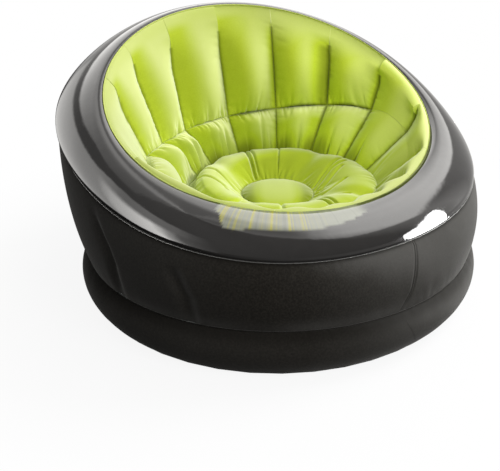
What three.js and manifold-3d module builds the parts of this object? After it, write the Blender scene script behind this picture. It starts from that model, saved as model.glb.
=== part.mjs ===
import * as THREE from 'three';
import { mergeVertices } from 'three/addons/utils/BufferGeometryUtils.js';
import Module from 'manifold-3d';

const wasm = await Module();
wasm.setup();

// Inflatable tub chair, in millimetres. The origin is on the floor under the middle of the seat,
// z is up and the low side of the bowl faces -y. Left and right are as seen from the front.

// Rings that the envelope hangs on, each a squared ellipse round the upright axis of the seat.
// rise lifts a ring towards the back and bow bends it, and squareShare fills out its corners.
// The outer weld of the rim is the widest, and every other ring lies in from it by its own insets
// and at its own height above or below it.
const outerRing = {
  halfWidth: 560.2, halfDepth: 518, centreY: 45, height: 393, rise: 139, bow: 15.5, squareShare: 0.02,
};
const rimInset = { side: 99.2, end: 183.4 };
const innerLift = 94;
const innerRing = {
  halfWidth: outerRing.halfWidth - rimInset.side,
  halfDepth: outerRing.halfDepth - rimInset.end,
  centreY: 8,
  height: outerRing.height + innerLift,
  rise: 185,
  bow: 16.7,
  squareShare: 0,
};
const tuftInset = { side: 57, end: 56.6 };
const tuftDrop = 138;
const tuftRing = {
  halfWidth: innerRing.halfWidth - tuftInset.side,
  halfDepth: innerRing.halfDepth - tuftInset.end,
  centreY: -14,
  height: innerRing.height - tuftDrop,
  rise: 51,
  bow: -46,
  squareShare: 0,
};
const waistInset = { side: 27.2, end: 10 };
const waistRing = {
  halfWidth: outerRing.halfWidth - waistInset.side,
  halfDepth: outerRing.halfDepth - waistInset.end,
  centreY: -10,
  height: 120.5,
  rise: 0,
  bow: 0,
  squareShare: 0,
};
const floorInset = 8;
const floorRing = {
  ...waistRing,
  halfWidth: waistRing.halfWidth - floorInset,
  halfDepth: waistRing.halfDepth - floorInset,
  height: 0,
};

// How far each strip of the envelope swells past the chord between its two rings.
const baseBulge = 25;
const wallBulge = 18;
const rimRoll = 36;

// Vinyl sheet, and the play between two pieces that are welded or laid together.
const sheet = 1.2;
const play = 0.3;

// Seat: a ring cushion round a domed button, set in and down from the tuft crease.
const seatInset = 23;
const seatDrop = 114;
const buttonDrop = 10;
const seatRadius = tuftRing.halfDepth - seatInset;
const seatHeight = tuftRing.height - seatDrop;
const buttonRadius = 92;
const buttonHeight = seatHeight - buttonDrop;
const seatCrown = 45;
const buttonCrown = 14;
const channelDepth = 9;
const channelWidth = 26;

// Air cells: depth under their weld line, and the height of their crowns.
const cellDepth = 10;
const upperCrown = 42;
const lowerCrown = 34;
const frontCrown = 26;

// Internal webs and their air passages.
const ribTopWidth = 20;
const ribTopDrop = 30;
const ribHoleRadius = 25;
const ribHoleInset = 60;
const webHoleRadius = 20;
const waistHoleRadius = 22;

// Valve, in the back of the side wall, and the height of its centre.
const valveHeight = 215;
const neckBore = 19;
const neckWall = 2.4;
const neckLength = 24;
const flangeRadius = 36;
const flangeThickness = 1.6;
const collarHeight = 3.4;
const collarWidth = 4;
const gasketThickness = 1.6;
const threadPlay = 0.4;
const plugRadius = 26;
const plugThickness = 3;
const plugLength = 20;
const boreRadius = 9;
const flapThickness = 1.2;
const flapOverlap = 1.5;
const stopperRadius = 12.5;
const stopperThickness = 2.7;
const stemLength = 7.5;
const stemTop = 8.6;
const stemTip = 7.6;
const strapLength = 5.5;
const strapWidth = 8;
const strapThickness = 1.2;
const cutOverrun = 10;

// Seams between cells: evenly spread, then drawn towards the back of the bowl.
const seamsPerSide = 8;
const rowedCellsPerSide = 4;
const seamDrift = THREE.MathUtils.degToRad(13);
const wallSeamBearing = THREE.MathUtils.degToRad(-83);
const rimSeamBearing = THREE.MathUtils.degToRad(-144);
const backBearing = Math.PI / 2;

const flockGreen = { color: 0xb4cc48, roughness: 0.95, metalness: 0 };
const flockBlack = { color: 0x2f2c2a, roughness: 0.95, metalness: 0 };
const glossVinyl = { color: 0x3a3837, roughness: 0.12, metalness: 0 };
const plainVinyl = { color: 0x2b2a2a, roughness: 0.5, metalness: 0 };
const webVinyl = { color: 0x8f9492, roughness: 0.45, metalness: 0 };
const softPlastic = { color: 0x1d1d1f, roughness: 0.4, metalness: 0 };
const sealRubber = { color: 0x3b3b3d, roughness: 0.7, metalness: 0 };

const chair = new THREE.Group();

function add(name, geometry, finish, parent = chair) {
  const mesh = new THREE.Mesh(geometry, new THREE.MeshStandardMaterial(finish));
  mesh.name = name;
  parent.add(mesh);
  return mesh;
}

// Distance from the axis and height of a ring at a bearing, found by halving the interval in
// which the ring's own angle must lie: within searchTurn radians of the bearing.
const halvings = 40;
const searchTurn = 1;
function ringPoint(ring, bearing) {
  let low = bearing - searchTurn;
  let high = bearing + searchTurn;
  let x = 0;
  let y = 0;
  let turn = bearing;
  for (let step = 0; step < halvings; step++) {
    turn = (low + high) / 2;
    const fill = 1 - ring.squareShare * Math.cos(4 * turn);
    x = ring.halfWidth * fill * Math.cos(turn);
    y = ring.centreY + ring.halfDepth * fill * Math.sin(turn);
    if (x * Math.sin(bearing) > y * Math.cos(bearing)) low = turn;
    else high = turn;
  }
  const lift = Math.sin(turn);
  return new THREE.Vector2(Math.hypot(x, y), ring.height + ring.rise * lift + ring.bow * (lift * lift - 0.5));
}

// A point of an upright section through the axis, turned to its bearing.
function swing(point, bearing) {
  return new THREE.Vector3(point.x * Math.cos(bearing), point.x * Math.sin(bearing), point.y);
}

function outwardOf(from, to) {
  const along = to.clone().sub(from).normalize();
  return new THREE.Vector2(along.y, -along.x);
}

// Round arc from one point to another with a given rise outside the chord.
function bulgeArc(from, to, rise, share) {
  const half = from.distanceTo(to) / 2;
  const radius = (half * half + rise * rise) / (2 * rise);
  const turn = (2 * share - 1) * Math.asin(half / radius);
  const along = to.clone().sub(from).normalize();
  const middle = from.clone().lerp(to, 0.5);
  middle.addScaledVector(along, radius * Math.sin(turn));
  return middle.addScaledVector(outwardOf(from, to), radius * Math.cos(turn) - (radius - rise));
}

// Half an ellipse from one point to the other, standing square on the chord at both ends, so near
// an end a share of the arc is that share of pi times the rise.
function rollArc(from, to, rise, share) {
  const half = from.distanceTo(to) / 2;
  const along = to.clone().sub(from).normalize();
  const middle = from.clone().lerp(to, 0.5);
  middle.addScaledVector(along, -half * Math.cos(Math.PI * share));
  return middle.addScaledVector(outwardOf(from, to), rise * Math.sin(Math.PI * share));
}

function evenShares(count) {
  return Array.from({ length: count + 1 }, (_, index) => index / count);
}

// Closed solid from points and triangles, turned so that its faces point out.
function solidFrom(points, faces) {
  let volume = 0;
  for (const [a, b, c] of faces) {
    volume += points[a].dot(points[b].clone().cross(points[c]));
  }
  const outward = volume > 0 ? faces : faces.map(([a, b, c]) => [a, c, b]);
  const geometry = new THREE.BufferGeometry();
  geometry.setAttribute('position', new THREE.Float32BufferAttribute(points.flatMap((p) => p.toArray()), 3));
  geometry.setIndex(outward.flat());
  return geometry;
}

// Solid between two grids of points with the same rows and columns.
function slab(front, back) {
  const rows = front.length;
  const columns = front[0].length;
  const points = [...front.flat(), ...back.flat()];
  const faces = [];
  const at = (side, row, column) => side * rows * columns + row * columns + column;
  const quad = (a, b, c, d) => faces.push([a, b, c], [a, c, d]);
  for (let i = 0; i < rows - 1; i++) {
    for (let j = 0; j < columns - 1; j++) {
      quad(at(0, i, j), at(0, i + 1, j), at(0, i + 1, j + 1), at(0, i, j + 1));
      quad(at(1, i, j), at(1, i, j + 1), at(1, i + 1, j + 1), at(1, i + 1, j));
    }
  }
  for (let i = 0; i < rows - 1; i++) {
    quad(at(0, i, 0), at(1, i, 0), at(1, i + 1, 0), at(0, i + 1, 0));
    quad(at(0, i, columns - 1), at(0, i + 1, columns - 1), at(1, i + 1, columns - 1), at(1, i, columns - 1));
  }
  for (let j = 0; j < columns - 1; j++) {
    quad(at(0, 0, j), at(0, 0, j + 1), at(1, 0, j + 1), at(1, 0, j));
    quad(at(0, rows - 1, j), at(1, rows - 1, j), at(1, rows - 1, j + 1), at(0, rows - 1, j + 1));
  }
  return solidFrom(points, faces);
}

// Band of sheet once round the chair, open only at its closing seam. section gives the outer
// points at a bearing, and the sheet's thickness lies inside them.
function band(section, seamBearing, turns) {
  const outside = [];
  const inside = [];
  const slit = play / seatRadius;
  for (const share of evenShares(turns)) {
    const bearing = seamBearing + slit + share * (2 * Math.PI - 2 * slit);
    const line = section(bearing);
    outside.push(line.map((point) => swing(point, bearing)));
    inside.push(line.map((point, index) => {
      const before = line[Math.max(index - 1, 0)];
      const after = line[Math.min(index + 1, line.length - 1)];
      return swing(point.clone().addScaledVector(outwardOf(before, after), -sheet), bearing);
    }));
  }
  return slab(outside, inside);
}

function manifoldOf(geometry, matrix) {
  const plain = geometry.index ? geometry.toNonIndexed() : geometry.clone();
  plain.deleteAttribute('normal');
  plain.deleteAttribute('uv');
  plain.applyMatrix4(matrix ?? new THREE.Matrix4());
  const merged = mergeVertices(plain);
  return new wasm.Manifold(new wasm.Mesh({
    numProp: 3,
    vertProperties: merged.attributes.position.array,
    triVerts: new Uint32Array(merged.index.array),
  }));
}

function geometryOf(solid) {
  const mesh = solid.getMesh();
  const geometry = new THREE.BufferGeometry();
  geometry.setAttribute('position', new THREE.BufferAttribute(new Float32Array(mesh.vertProperties), 3));
  geometry.setIndex(new THREE.BufferAttribute(new Uint32Array(mesh.triVerts), 1));
  return geometry;
}

// Solid turned round z from a profile of [radius, height] corners.
function turned(corners, segments) {
  const geometry = new THREE.LatheGeometry(corners.map(([r, z]) => new THREE.Vector2(r, z)), segments);
  return geometry.rotateX(Math.PI / 2);
}

function ringCorners(inner, outer, bottom, top) {
  return [[inner, bottom], [outer, bottom], [outer, top], [inner, top], [inner, bottom]];
}

// Flat sheet cut to an outline in the floor plane, with holes, from a height upwards.
function flatSheet(outline, holes, bottom) {
  const shape = new THREE.Shape(outline);
  for (const hole of holes) shape.holes.push(hole);
  const geometry = new THREE.ExtrudeGeometry(shape, { depth: sheet, bevelEnabled: false, curveSegments: 4 });
  return geometry.translate(0, 0, bottom);
}

function ringOutline(ring, count) {
  return evenShares(count).slice(0, -1).map((share) => {
    const bearing = share * 2 * Math.PI;
    const point = swing(ringPoint(ring, bearing), bearing);
    return new THREE.Vector2(point.x, point.y);
  });
}

function roundHole(x, y, radius) {
  const hole = new THREE.Path();
  hole.absarc(x, y, radius, 0, 2 * Math.PI, true);
  return hole;
}

// Bearing of seam number k, counted from the back; side is 1 for left and -1 for right.
function seamBearing(k, side) {
  const even = Math.PI * k / seamsPerSide;
  return backBearing + side * (even + seamDrift * Math.sin(even));
}

// Weld line of the bowl in one upright section: from the rim down to the tuft crease and on to
// the crease round the seat. Each point has the direction towards the air space behind it.
function bowlSection(bearing) {
  const top = ringPoint(innerRing, bearing);
  const tuft = ringPoint(tuftRing, bearing);
  const seat = new THREE.Vector2(seatRadius, seatHeight);
  const upperOut = outwardOf(top, tuft).negate();
  const lowerOut = outwardOf(tuft, seat).negate();
  const down = new THREE.Vector2(0, -1);
  const tuftOut = upperOut.clone().add(lowerOut).normalize();
  const upper = (share) => ({
    point: top.clone().lerp(tuft, share), out: upperOut.clone().lerp(tuftOut, share).normalize(),
  });
  const lower = (share) => ({
    point: tuft.clone().lerp(seat, share), out: tuftOut.clone().lerp(down, share).normalize(),
  });
  return { upper, lower, upperLength: top.distanceTo(tuft), lowerLength: tuft.distanceTo(seat) };
}

// Rows of a cell: shares of the way down each stretch of the weld line that the cell covers.
const upperRowShares = [0, 0.1, 0.22, 0.36, 0.52, 0.68, 0.82, 0.93, 1];
const lowerRowShares = [0, 0.08, 0.28, 0.5, 0.72, 0.92, 1];
const frontRowShares = [0, 0.1, 0.35, 0.65, 1];
const archShares = [0, 0.06, 0.22, 0.4, 0.6, 0.78, 0.94, 1];

// Swelling of a cell along its length, blunt at both ends, and across its width, rounder.
const pillowPower = 4;
const archPower = 0.625;
const pillow = (share) => Math.sqrt(Math.max(0, 1 - (2 * share - 1) ** pillowPower));
const arch = (share) => Math.max(0, 1 - (2 * share - 1) ** 2) ** archPower;

// Upper cells run smoothly out of the lip under the rim and swell fullest just over the tuft crease.
const fullestShare = 0.66;
function hangingCrown(share) {
  if (share < fullestShare) return (1 - Math.cos(Math.PI * share / fullestShare)) / 2;
  return Math.sqrt(Math.max(0, 1 - ((share - fullestShare) / (1 - fullestShare)) ** 2));
}

// Air cell between two seams. stations gives its rows in one upright section: the place of each
// on the weld line, and what share of the crown it has.
function cell(name, k, side, stations, crown) {
  const from = seamBearing(k, side);
  const to = seamBearing(k + 1, side);
  const front = [];
  const back = [];
  const edge = side * play / seatRadius;
  for (const across of archShares) {
    const bearing = from + edge + across * (to - from - 2 * edge);
    const section = bowlSection(bearing);
    const rows = stations(section);
    front.push(rows.map(({ place, swell }) => {
      const height = crown * swell * arch(across);
      return swing(place.point.clone().addScaledVector(place.out, -height), bearing);
    }));
    back.push(rows.map(({ place }) => (
      swing(place.point.clone().addScaledVector(place.out, cellDepth), bearing))));
  }
  add(name, slab(front, back), flockGreen);
}

// Share of a stretch, with the play left free at both of its ends.
function trimmed(share, length) {
  return play / length + share * (1 - 2 * play / length);
}

function upperStations(section) {
  return upperRowShares.map((share) => ({
    place: section.upper(trimmed(share, section.upperLength)), swell: hangingCrown(share),
  }));
}

function lowerStations(section) {
  return lowerRowShares.map((share) => ({
    place: section.lower(trimmed(share, section.lowerLength)), swell: pillow(share),
  }));
}

// A front cell covers both stretches, so its rows cross the tuft height without a crease.
function frontStations(section) {
  const whole = section.upperLength + section.lowerLength;
  const above = frontRowShares.map((share) => ({
    place: section.upper(play / section.upperLength + share * (1 - play / section.upperLength)),
    swell: pillow(share * section.upperLength / whole),
  }));
  const below = frontRowShares.slice(1).map((share) => ({
    place: section.lower(share * (1 - play / section.lowerLength)),
    swell: pillow((section.upperLength + share * section.lowerLength) / whole),
  }));
  return [...above, ...below];
}

function bowlCells() {
  for (const [word, side] of [['left', 1], ['right', -1]]) {
    for (let k = 0; k < seamsPerSide; k++) {
      if (k < rowedCellsPerSide) {
        cell(`upper_cell_${word}_${k + 1}`, k, side, upperStations, upperCrown);
        cell(`lower_cell_${word}_${k + 1}`, k, side, lowerStations, lowerCrown);
      } else {
        cell(`front_cell_${word}_${k - rowedCellsPerSide + 1}`, k, side, frontStations, frontCrown);
      }
    }
  }
}

// Ring cushion: crest nearer the outer crease, and four channels pulled in across it.
const sectionShares = [0, 0.05, 0.16, 0.3, 0.45, 0.62, 0.8, 0.94, 1];
const sectorShares = [0, 0.06, 0.13, 0.25, 0.42, 0.58, 0.75, 0.87, 0.94];
const channelCount = 4;
const firstChannelBearing = seamBearing(1, 1);
const crestSkew = 0.72;
const crestPower = 0.7;
function seatRing() {
  const sector = 2 * Math.PI / channelCount;
  const widestStep = sector * Math.max(...sectorShares.slice(1).map((share, i) => share - sectorShares[i]));
  const outer = new THREE.Vector2(seatRadius - play, seatHeight);
  const inner = new THREE.Vector2((buttonRadius + play) / Math.cos(widestStep / 2), buttonHeight);
  const loops = [];
  for (let channel = 0; channel < channelCount; channel++) {
    for (const share of sectorShares) {
      const bearing = firstChannelBearing + (channel + share) * sector;
      const fromChannel = Math.min(share, 1 - share) * sector * (seatRadius + buttonRadius) / 2;
      const pull = channelDepth * Math.exp(-((fromChannel / channelWidth) ** 2));
      const top = sectionShares.map((place) => {
        const swell = Math.sin(Math.PI * place ** crestSkew) ** crestPower;
        const point = outer.clone().lerp(inner, place);
        point.y += (seatCrown - pull) * swell;
        return swing(point, bearing);
      });
      const under = [inner, outer].map((point) => (
        swing(new THREE.Vector2(point.x, point.y - cellDepth), bearing)));
      loops.push([...top, ...under]);
    }
  }
  const size = loops[0].length;
  const faces = [];
  loops.forEach((_, i) => {
    const next = (i + 1) % loops.length;
    for (let j = 0; j < size; j++) {
      const after = (j + 1) % size;
      faces.push([i * size + j, next * size + j, next * size + after]);
      faces.push([i * size + j, next * size + after, i * size + after]);
    }
  });
  add('seat_ring', solidFrom(loops.flat(), faces), flockGreen);
}

const domeShares = [0, 0.3, 0.55, 0.75, 0.9, 0.98, 1];
const domePower = 2.5;
function seatButton() {
  const dome = domeShares.map((share) => [
    share * (buttonRadius - play), buttonHeight + buttonCrown * Math.sqrt(1 - share ** domePower),
  ]);
  const bottom = buttonHeight - cellDepth;
  add('seat_button', turned([[0, bottom], [buttonRadius - play, bottom], ...dome.reverse()], 32), flockGreen);
}

const baseShares = evenShares(4);
const wallShares = evenShares(5);
const rimShares = [0, 0.07, 0.18, 0.33, 0.5, 0.67, 0.82, 0.93, 1];
const wallTurns = 44;
function baseSection(bearing) {
  const from = ringPoint(floorRing, bearing).add(new THREE.Vector2(0, sheet + play));
  const to = ringPoint(waistRing, bearing).sub(new THREE.Vector2(0, sheet / 2 + play));
  return baseShares.map((share) => bulgeArc(from, to, baseBulge, share));
}

function wallLine(bearing, share) {
  const from = ringPoint(waistRing, bearing).add(new THREE.Vector2(0, sheet / 2 + play));
  const to = ringPoint(outerRing, bearing);
  return bulgeArc(from, to, wallBulge, share * (1 - play / from.distanceTo(to)));
}

function rimSection(bearing) {
  const from = ringPoint(outerRing, bearing);
  const to = ringPoint(innerRing, bearing);
  const startShare = play / (Math.PI * rimRoll);
  const endShare = 1 - (sheet + 2 * play) / (Math.PI * rimRoll);
  return rimShares.map((share) => rollArc(from, to, rimRoll, startShare + share * (endShare - startShare)));
}

// Place on the back of the side wall at the valve's height, and the direction square out of it.
function valveSeat() {
  let low = 0;
  let high = 1;
  for (let step = 0; step < halvings; step++) {
    const middle = (low + high) / 2;
    if (wallLine(backBearing, middle).y < valveHeight) low = middle;
    else high = middle;
  }
  const wall = wallShares.map((share) => wallLine(backBearing, share));
  const facet = wall.findIndex((point) => point.y > valveHeight);
  const out = outwardOf(wall[facet - 1], wall[facet]);
  const share = (valveHeight - wall[facet - 1].y) / (wall[facet].y - wall[facet - 1].y);
  const point = wall[facet - 1].clone().lerp(wall[facet], share);
  return { point: swing(point, backBearing), out: swing(out, backBearing) };
}

function valveGroup() {
  const { point, out } = valveSeat();
  const group = new THREE.Group();
  group.name = 'valve';
  group.position.copy(point);
  const across = new THREE.Vector3(1, 0, 0);
  const up = out.clone().cross(across).normalize();
  group.quaternion.setFromRotationMatrix(new THREE.Matrix4().makeBasis(across, up, out));
  return group;
}

function envelope() {
  const bottom = ringOutline(floorRing, wallTurns);
  add('bottom_sheet', flatSheet(bottom, [], 0), plainVinyl);
  add('base_wall', band(baseSection, wallSeamBearing, wallTurns), flockBlack);

  // The valve's neck passes through a round hole in the back of the side wall.
  const wall = manifoldOf(band((bearing) => wallShares.map((share) => wallLine(bearing, share)),
    wallSeamBearing, wallTurns));
  const group = valveGroup();
  group.updateMatrix();
  const cutter = turned([[0, -cutOverrun], [neckBore + neckWall + play, -cutOverrun],
    [neckBore + neckWall + play, cutOverrun], [0, cutOverrun]], 32);
  add('side_wall', geometryOf(wall.subtract(manifoldOf(cutter, group.matrix))), flockBlack);
  add('rim', band(rimSection, rimSeamBearing, wallTurns), glossVinyl);
}

// Web under one seam: its inner edge follows the backs of the cells, its foot stands on the
// waist web, and its outer edge hangs in a free curve from the rim to the waist.
function rib(name, bearing) {
  const section = bowlSection(bearing);
  const behind = ({ point, out }) => point.clone().addScaledVector(out, cellDepth + play);
  const startShare = ribTopDrop / section.upperLength;
  const start = behind(section.upper(startShare));
  const inner = [
    ...upperRowShares.filter((share) => share > startShare).map((share) => behind(section.upper(share))),
    ...lowerRowShares.slice(1, -1).map((share) => behind(section.lower(share))),
  ];
  const foot = waistRing.height + sheet / 2 + play;
  const drum = seatRadius + sheet / 2 + play;
  const waist = ringPoint(waistRing, bearing);
  const tuft = ringPoint(tuftRing, bearing);
  const shape = new THREE.Shape();
  shape.moveTo(start.x, start.y);
  for (const point of inner) shape.lineTo(point.x, point.y);
  shape.lineTo(drum + play, seatHeight - 2 * cellDepth);
  shape.lineTo(drum + play, foot);
  shape.lineTo(waist.x - 2 * sheet, foot);
  const shoulder = start.clone().addScaledVector(section.upper(0).out, ribTopWidth);
  shape.quadraticCurveTo(tuft.x + ribHoleInset, (foot + tuft.y) / 2, shoulder.x, shoulder.y);
  shape.lineTo(start.x, start.y);
  shape.holes.push(roundHole(drum + ribHoleInset, (foot + seatHeight) / 2, ribHoleRadius));
  const geometry = new THREE.ExtrudeGeometry(shape, { depth: sheet, bevelEnabled: false, curveSegments: 4 });
  geometry.translate(0, 0, -sheet / 2).rotateX(Math.PI / 2);
  add(name, geometry, webVinyl).rotation.z = bearing;
}

function ribs() {
  rib('rib_back', backBearing);
  for (let k = 1; k < seamsPerSide; k++) {
    rib(`rib_left_${k}`, seamBearing(k, 1));
    rib(`rib_right_${k}`, seamBearing(k, -1));
  }
  rib('rib_front', seamBearing(seamsPerSide, 1));
}

const drumTurns = 40;
// Drum of sheet from the bottom sheet up to a crease, with air passages round it.
function drumWeb(name, radius, top, holeHeight) {
  const wall = ringCorners(radius - sheet / 2, radius + sheet / 2, sheet + play, top);
  let drum = manifoldOf(turned(wall, drumTurns));
  for (let pair = 0; pair < channelCount; pair++) {
    const tube = new THREE.CylinderGeometry(webHoleRadius, webHoleRadius, 2 * radius + 2 * cutOverrun, 10);
    tube.rotateZ(Math.PI * (pair + 0.5) / channelCount).translate(0, 0, holeHeight);
    drum = drum.subtract(manifoldOf(tube));
  }
  add(name, geometryOf(drum), webVinyl);
}

function internalWebs() {
  const innerEdge = (seatRadius + sheet / 2 + play) / Math.cos(Math.PI / drumTurns);
  const holes = [roundHoleOf(innerEdge)];
  for (const side of [1, -1]) {
    for (let k = 0; k < seamsPerSide; k++) {
      const bearing = (seamBearing(k, side) + seamBearing(k + 1, side)) / 2;
      const middle = (seatRadius + ringPoint(waistRing, bearing).x) / 2;
      holes.push(roundHole(middle * Math.cos(bearing), middle * Math.sin(bearing), waistHoleRadius));
    }
  }
  const waistOutline = ringOutline(waistRing, wallTurns);
  add('waist_web', flatSheet(waistOutline, holes, waistRing.height - sheet / 2), webVinyl);
  drumWeb('seat_web', seatRadius, seatHeight - cellDepth - play, waistRing.height / 2);
  drumWeb('button_web', buttonRadius, buttonHeight - cellDepth - play, buttonHeight / 2);
}

function roundHoleOf(radius) {
  const corners = evenShares(drumTurns).slice(0, -1).reverse().map((share) => (
    new THREE.Vector2(radius * Math.cos(2 * Math.PI * share), radius * Math.sin(2 * Math.PI * share))));
  return new THREE.Path(corners);
}

// Valve pieces stand on their own axis, z pointing out of the wall.
function valve() {
  const group = valveGroup();
  chair.add(group);
  const neckOuter = neckBore + neckWall;
  const flangeTop = play + flangeThickness;
  const collarTop = flangeTop + collarHeight;
  const collarOuter = neckBore + collarWidth;
  add('valve_base', turned([
    [neckBore, -neckLength], [neckOuter, -neckLength], [neckOuter, play], [flangeRadius, play],
    [flangeRadius, flangeTop], [collarOuter, flangeTop], [collarOuter, collarTop], [neckBore, collarTop],
    [neckBore, -neckLength],
  ], 32), softPlastic, group);

  const gasketBottom = collarTop + play;
  const gasketTop = gasketBottom + gasketThickness;
  add('valve_gasket', turned(ringCorners(neckBore + play, collarOuter, gasketBottom, gasketTop), 32),
    sealRubber, group);

  const plugBottom = gasketTop + play;
  const plugTop = plugBottom + plugThickness;
  const stem = neckBore - threadPlay;
  const plugEnd = plugBottom - plugLength;
  add('valve_plug', turned([
    [boreRadius, plugEnd], [stem, plugEnd], [stem, plugBottom], [plugRadius, plugBottom],
    [plugRadius, plugTop], [boreRadius, plugTop], [boreRadius, plugEnd],
  ], 32), softPlastic, group);

  const flap = turned([
    [0, plugEnd - play - flapThickness], [boreRadius + flapOverlap, plugEnd - play - flapThickness],
    [boreRadius + flapOverlap, plugEnd - play], [0, plugEnd - play],
  ], 24);
  add('check_flap', flap, sealRubber, group);

  const stopperBottom = plugTop + play;
  add('valve_stopper', turned([
    [0, stopperBottom - stemLength], [stemTip, stopperBottom - stemLength], [stemTop, stopperBottom],
    [stopperRadius, stopperBottom], [stopperRadius, stopperBottom + stopperThickness],
    [0, stopperBottom + stopperThickness],
  ], 24), softPlastic, group);

  const strap = new THREE.BoxGeometry(strapWidth, strapLength - play, strapThickness);
  strap.translate(0, stopperRadius + (strapLength + play) / 2, stopperBottom + strapThickness / 2);
  add('stopper_strap', strap, softPlastic, group);
}

bowlCells();
seatRing();
seatButton();
envelope();
ribs();
internalWebs();
valve();

export default chair;
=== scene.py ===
# Inflatable tub chair: its looks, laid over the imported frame. Metres, z up, the low side of the bowl faces -y.
import math

import bpy
import numpy as np
from bpy.props import FloatProperty, FloatVectorProperty, PointerProperty
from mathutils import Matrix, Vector


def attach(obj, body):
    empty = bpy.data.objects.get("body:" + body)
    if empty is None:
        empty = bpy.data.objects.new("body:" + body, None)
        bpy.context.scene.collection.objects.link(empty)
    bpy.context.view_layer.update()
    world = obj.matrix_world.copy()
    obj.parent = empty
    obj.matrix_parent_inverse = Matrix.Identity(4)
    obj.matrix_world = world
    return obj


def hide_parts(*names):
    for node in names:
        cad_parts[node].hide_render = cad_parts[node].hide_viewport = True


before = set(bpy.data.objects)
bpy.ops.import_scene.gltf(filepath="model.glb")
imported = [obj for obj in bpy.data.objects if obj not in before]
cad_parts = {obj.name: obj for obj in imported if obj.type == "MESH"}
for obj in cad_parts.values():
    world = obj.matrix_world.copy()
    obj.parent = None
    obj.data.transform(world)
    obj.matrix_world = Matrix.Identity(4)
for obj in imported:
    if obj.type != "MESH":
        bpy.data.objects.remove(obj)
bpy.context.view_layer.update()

bl_info = {
    "name": "Inflatable Tub Chair",
    "version": (1, 0, 0),
    "blender": (4, 5, 0),
    "location": "View3D > Sidebar > Tub Chair",
    "description": "Makes the air cells, envelope, welds, valve finish and studio of an inflatable tub chair",
    "category": "Object",
}

CHAIR = "chair"
BACK = math.pi / 2
TARGET = (-0.026, 0.102, 0.054)


# ---------------------------------------------------------------- sizes and colours

def length(name, default, description, low=0.0, high=2.0):
    return FloatProperty(name=name, description=description, default=default, min=low, max=high,
                         subtype="DISTANCE", unit="LENGTH", precision=4)


def share(name, default, description, high=1.0):
    return FloatProperty(name=name, description=description, default=default, min=0.0, max=high, subtype="FACTOR")


def colour(name, default, description):
    return FloatVectorProperty(name=name, description=description, default=default, size=3, min=0.0, max=1.0,
                               subtype="COLOR")


def turn(name, degrees, description):
    return FloatProperty(name=name, description=description, default=math.radians(degrees),
                         subtype="ANGLE", unit="ROTATION")


class BowlSizes(bpy.types.PropertyGroup):
    """Swell and puckers of the green bowl"""
    upper_crown: length("Upper crown", 0.045, "How far the tall backrest cells swell past their weld line")
    lower_crown: length("Lower crown", 0.034, "How far the short cells over the seat swell")
    front_crown: length("Front crown", 0.026, "How far the cells round the front swell")
    gather_depth: length("Gather depth", 0.0056, "Depth of the gathers where a cell meets a crease")
    gather_reach: length("Gather reach", 0.036, "How far the gathers run into a cell")
    seat_crown: length("Seat crown", 0.045, "How far the ring cushion swells over its two creases")
    button_crown: length("Button crown", 0.014, "How far the button swells in the middle of the seat")
    channel_depth: length("Channel depth", 0.009, "How deep the four channels pull the ring cushion in")


class EnvelopeSizes(bpy.types.PropertyGroup):
    """Swell and seams of the rim and the walls"""
    rim_roll: length("Rim roll", 0.036, "How far the glossy rim swells past the chord of its section")
    wall_bulge: length("Wall bulge", 0.018, "How far the side wall swells past its chord")
    base_bulge: length("Base bulge", 0.025, "How far the base wall swells past its chord")
    pucker_depth: length("Pucker depth", 0.0006, "Depth of the fine puckers along the rim's welds")
    fold_depth: length("Fold depth", 0.012, "Depth of the folds that the inner webs pull into the side wall")
    weld_width: length("Weld width", 0.0032, "Width of the welded lips")
    sheet: length("Sheet", 0.0012, "Thickness of the vinyl sheet")


class Finishes(bpy.types.PropertyGroup):
    """Colours of the materials"""
    green_flock: colour("Green flock", (0.49, 0.60, 0.036), "Lime flock of the bowl")
    # Painted light: the paler lime that lit faces and a high nap attribute are mixed towards.
    green_painted_light: colour("Green nap", (0.69, 0.75, 0.30), "Lime flock where its nap faces out")
    # Painted sheen: a paler lime mixed in where the surface is seen at a grazing angle.
    green_painted_sheen: colour("Green tips", (0.80, 0.84, 0.55), "Tips of the lime flock, seen along the surface")
    black_flock: colour("Black flock", (0.0225, 0.0200, 0.0165), "Charcoal flock of the walls")
    # Painted light: the paler charcoal that faces towards the key lamp and a high nap attribute are mixed towards.
    black_painted_light: colour("Black nap", (0.170, 0.167, 0.158), "Charcoal flock where its nap faces out")
    # Painted highlight: a pale grey that stands in for the line of light along the outer weld.
    lip_vinyl: colour("Lip vinyl", (0.13, 0.128, 0.122), "Cut edge of the outer weld")
    # Painted reflection: the lime of the bowl as mirrored in a strip round the front of the rim.
    lime_reflection: colour("Hem vinyl", (0.23, 0.24, 0.185), "Lime hem seen through the milky edge of the rim")
    # Painted reflection: the streaks in that mirrored strip.
    lime_reflection_streak: colour("Hem pleat", (0.36, 0.335, 0.060), "Pleats of the hem seen through the edge of the rim")
    gloss_vinyl: colour("Gloss vinyl", (0.020, 0.0185, 0.0175), "Glossy dark vinyl of the rim")
    plain_vinyl: colour("Plain vinyl", (0.024, 0.023, 0.023), "Satin vinyl under the chair")
    web_vinyl: colour("Web vinyl", (0.27, 0.29, 0.28), "Milky vinyl of the inner webs")
    valve_plastic: colour("Valve plastic", (0.030, 0.030, 0.032), "Soft moulded plastic of the valve")
    seal_rubber: colour("Seal rubber", (0.044, 0.044, 0.046), "Soft rubber of the gasket and the flap")
    flock_grain: length("Flock grain", 0.0035, "Size of the clumps that the flock lies in")
    nap: share("Nap", 0.10, "How much the lie of the flock changes its colour")


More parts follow.
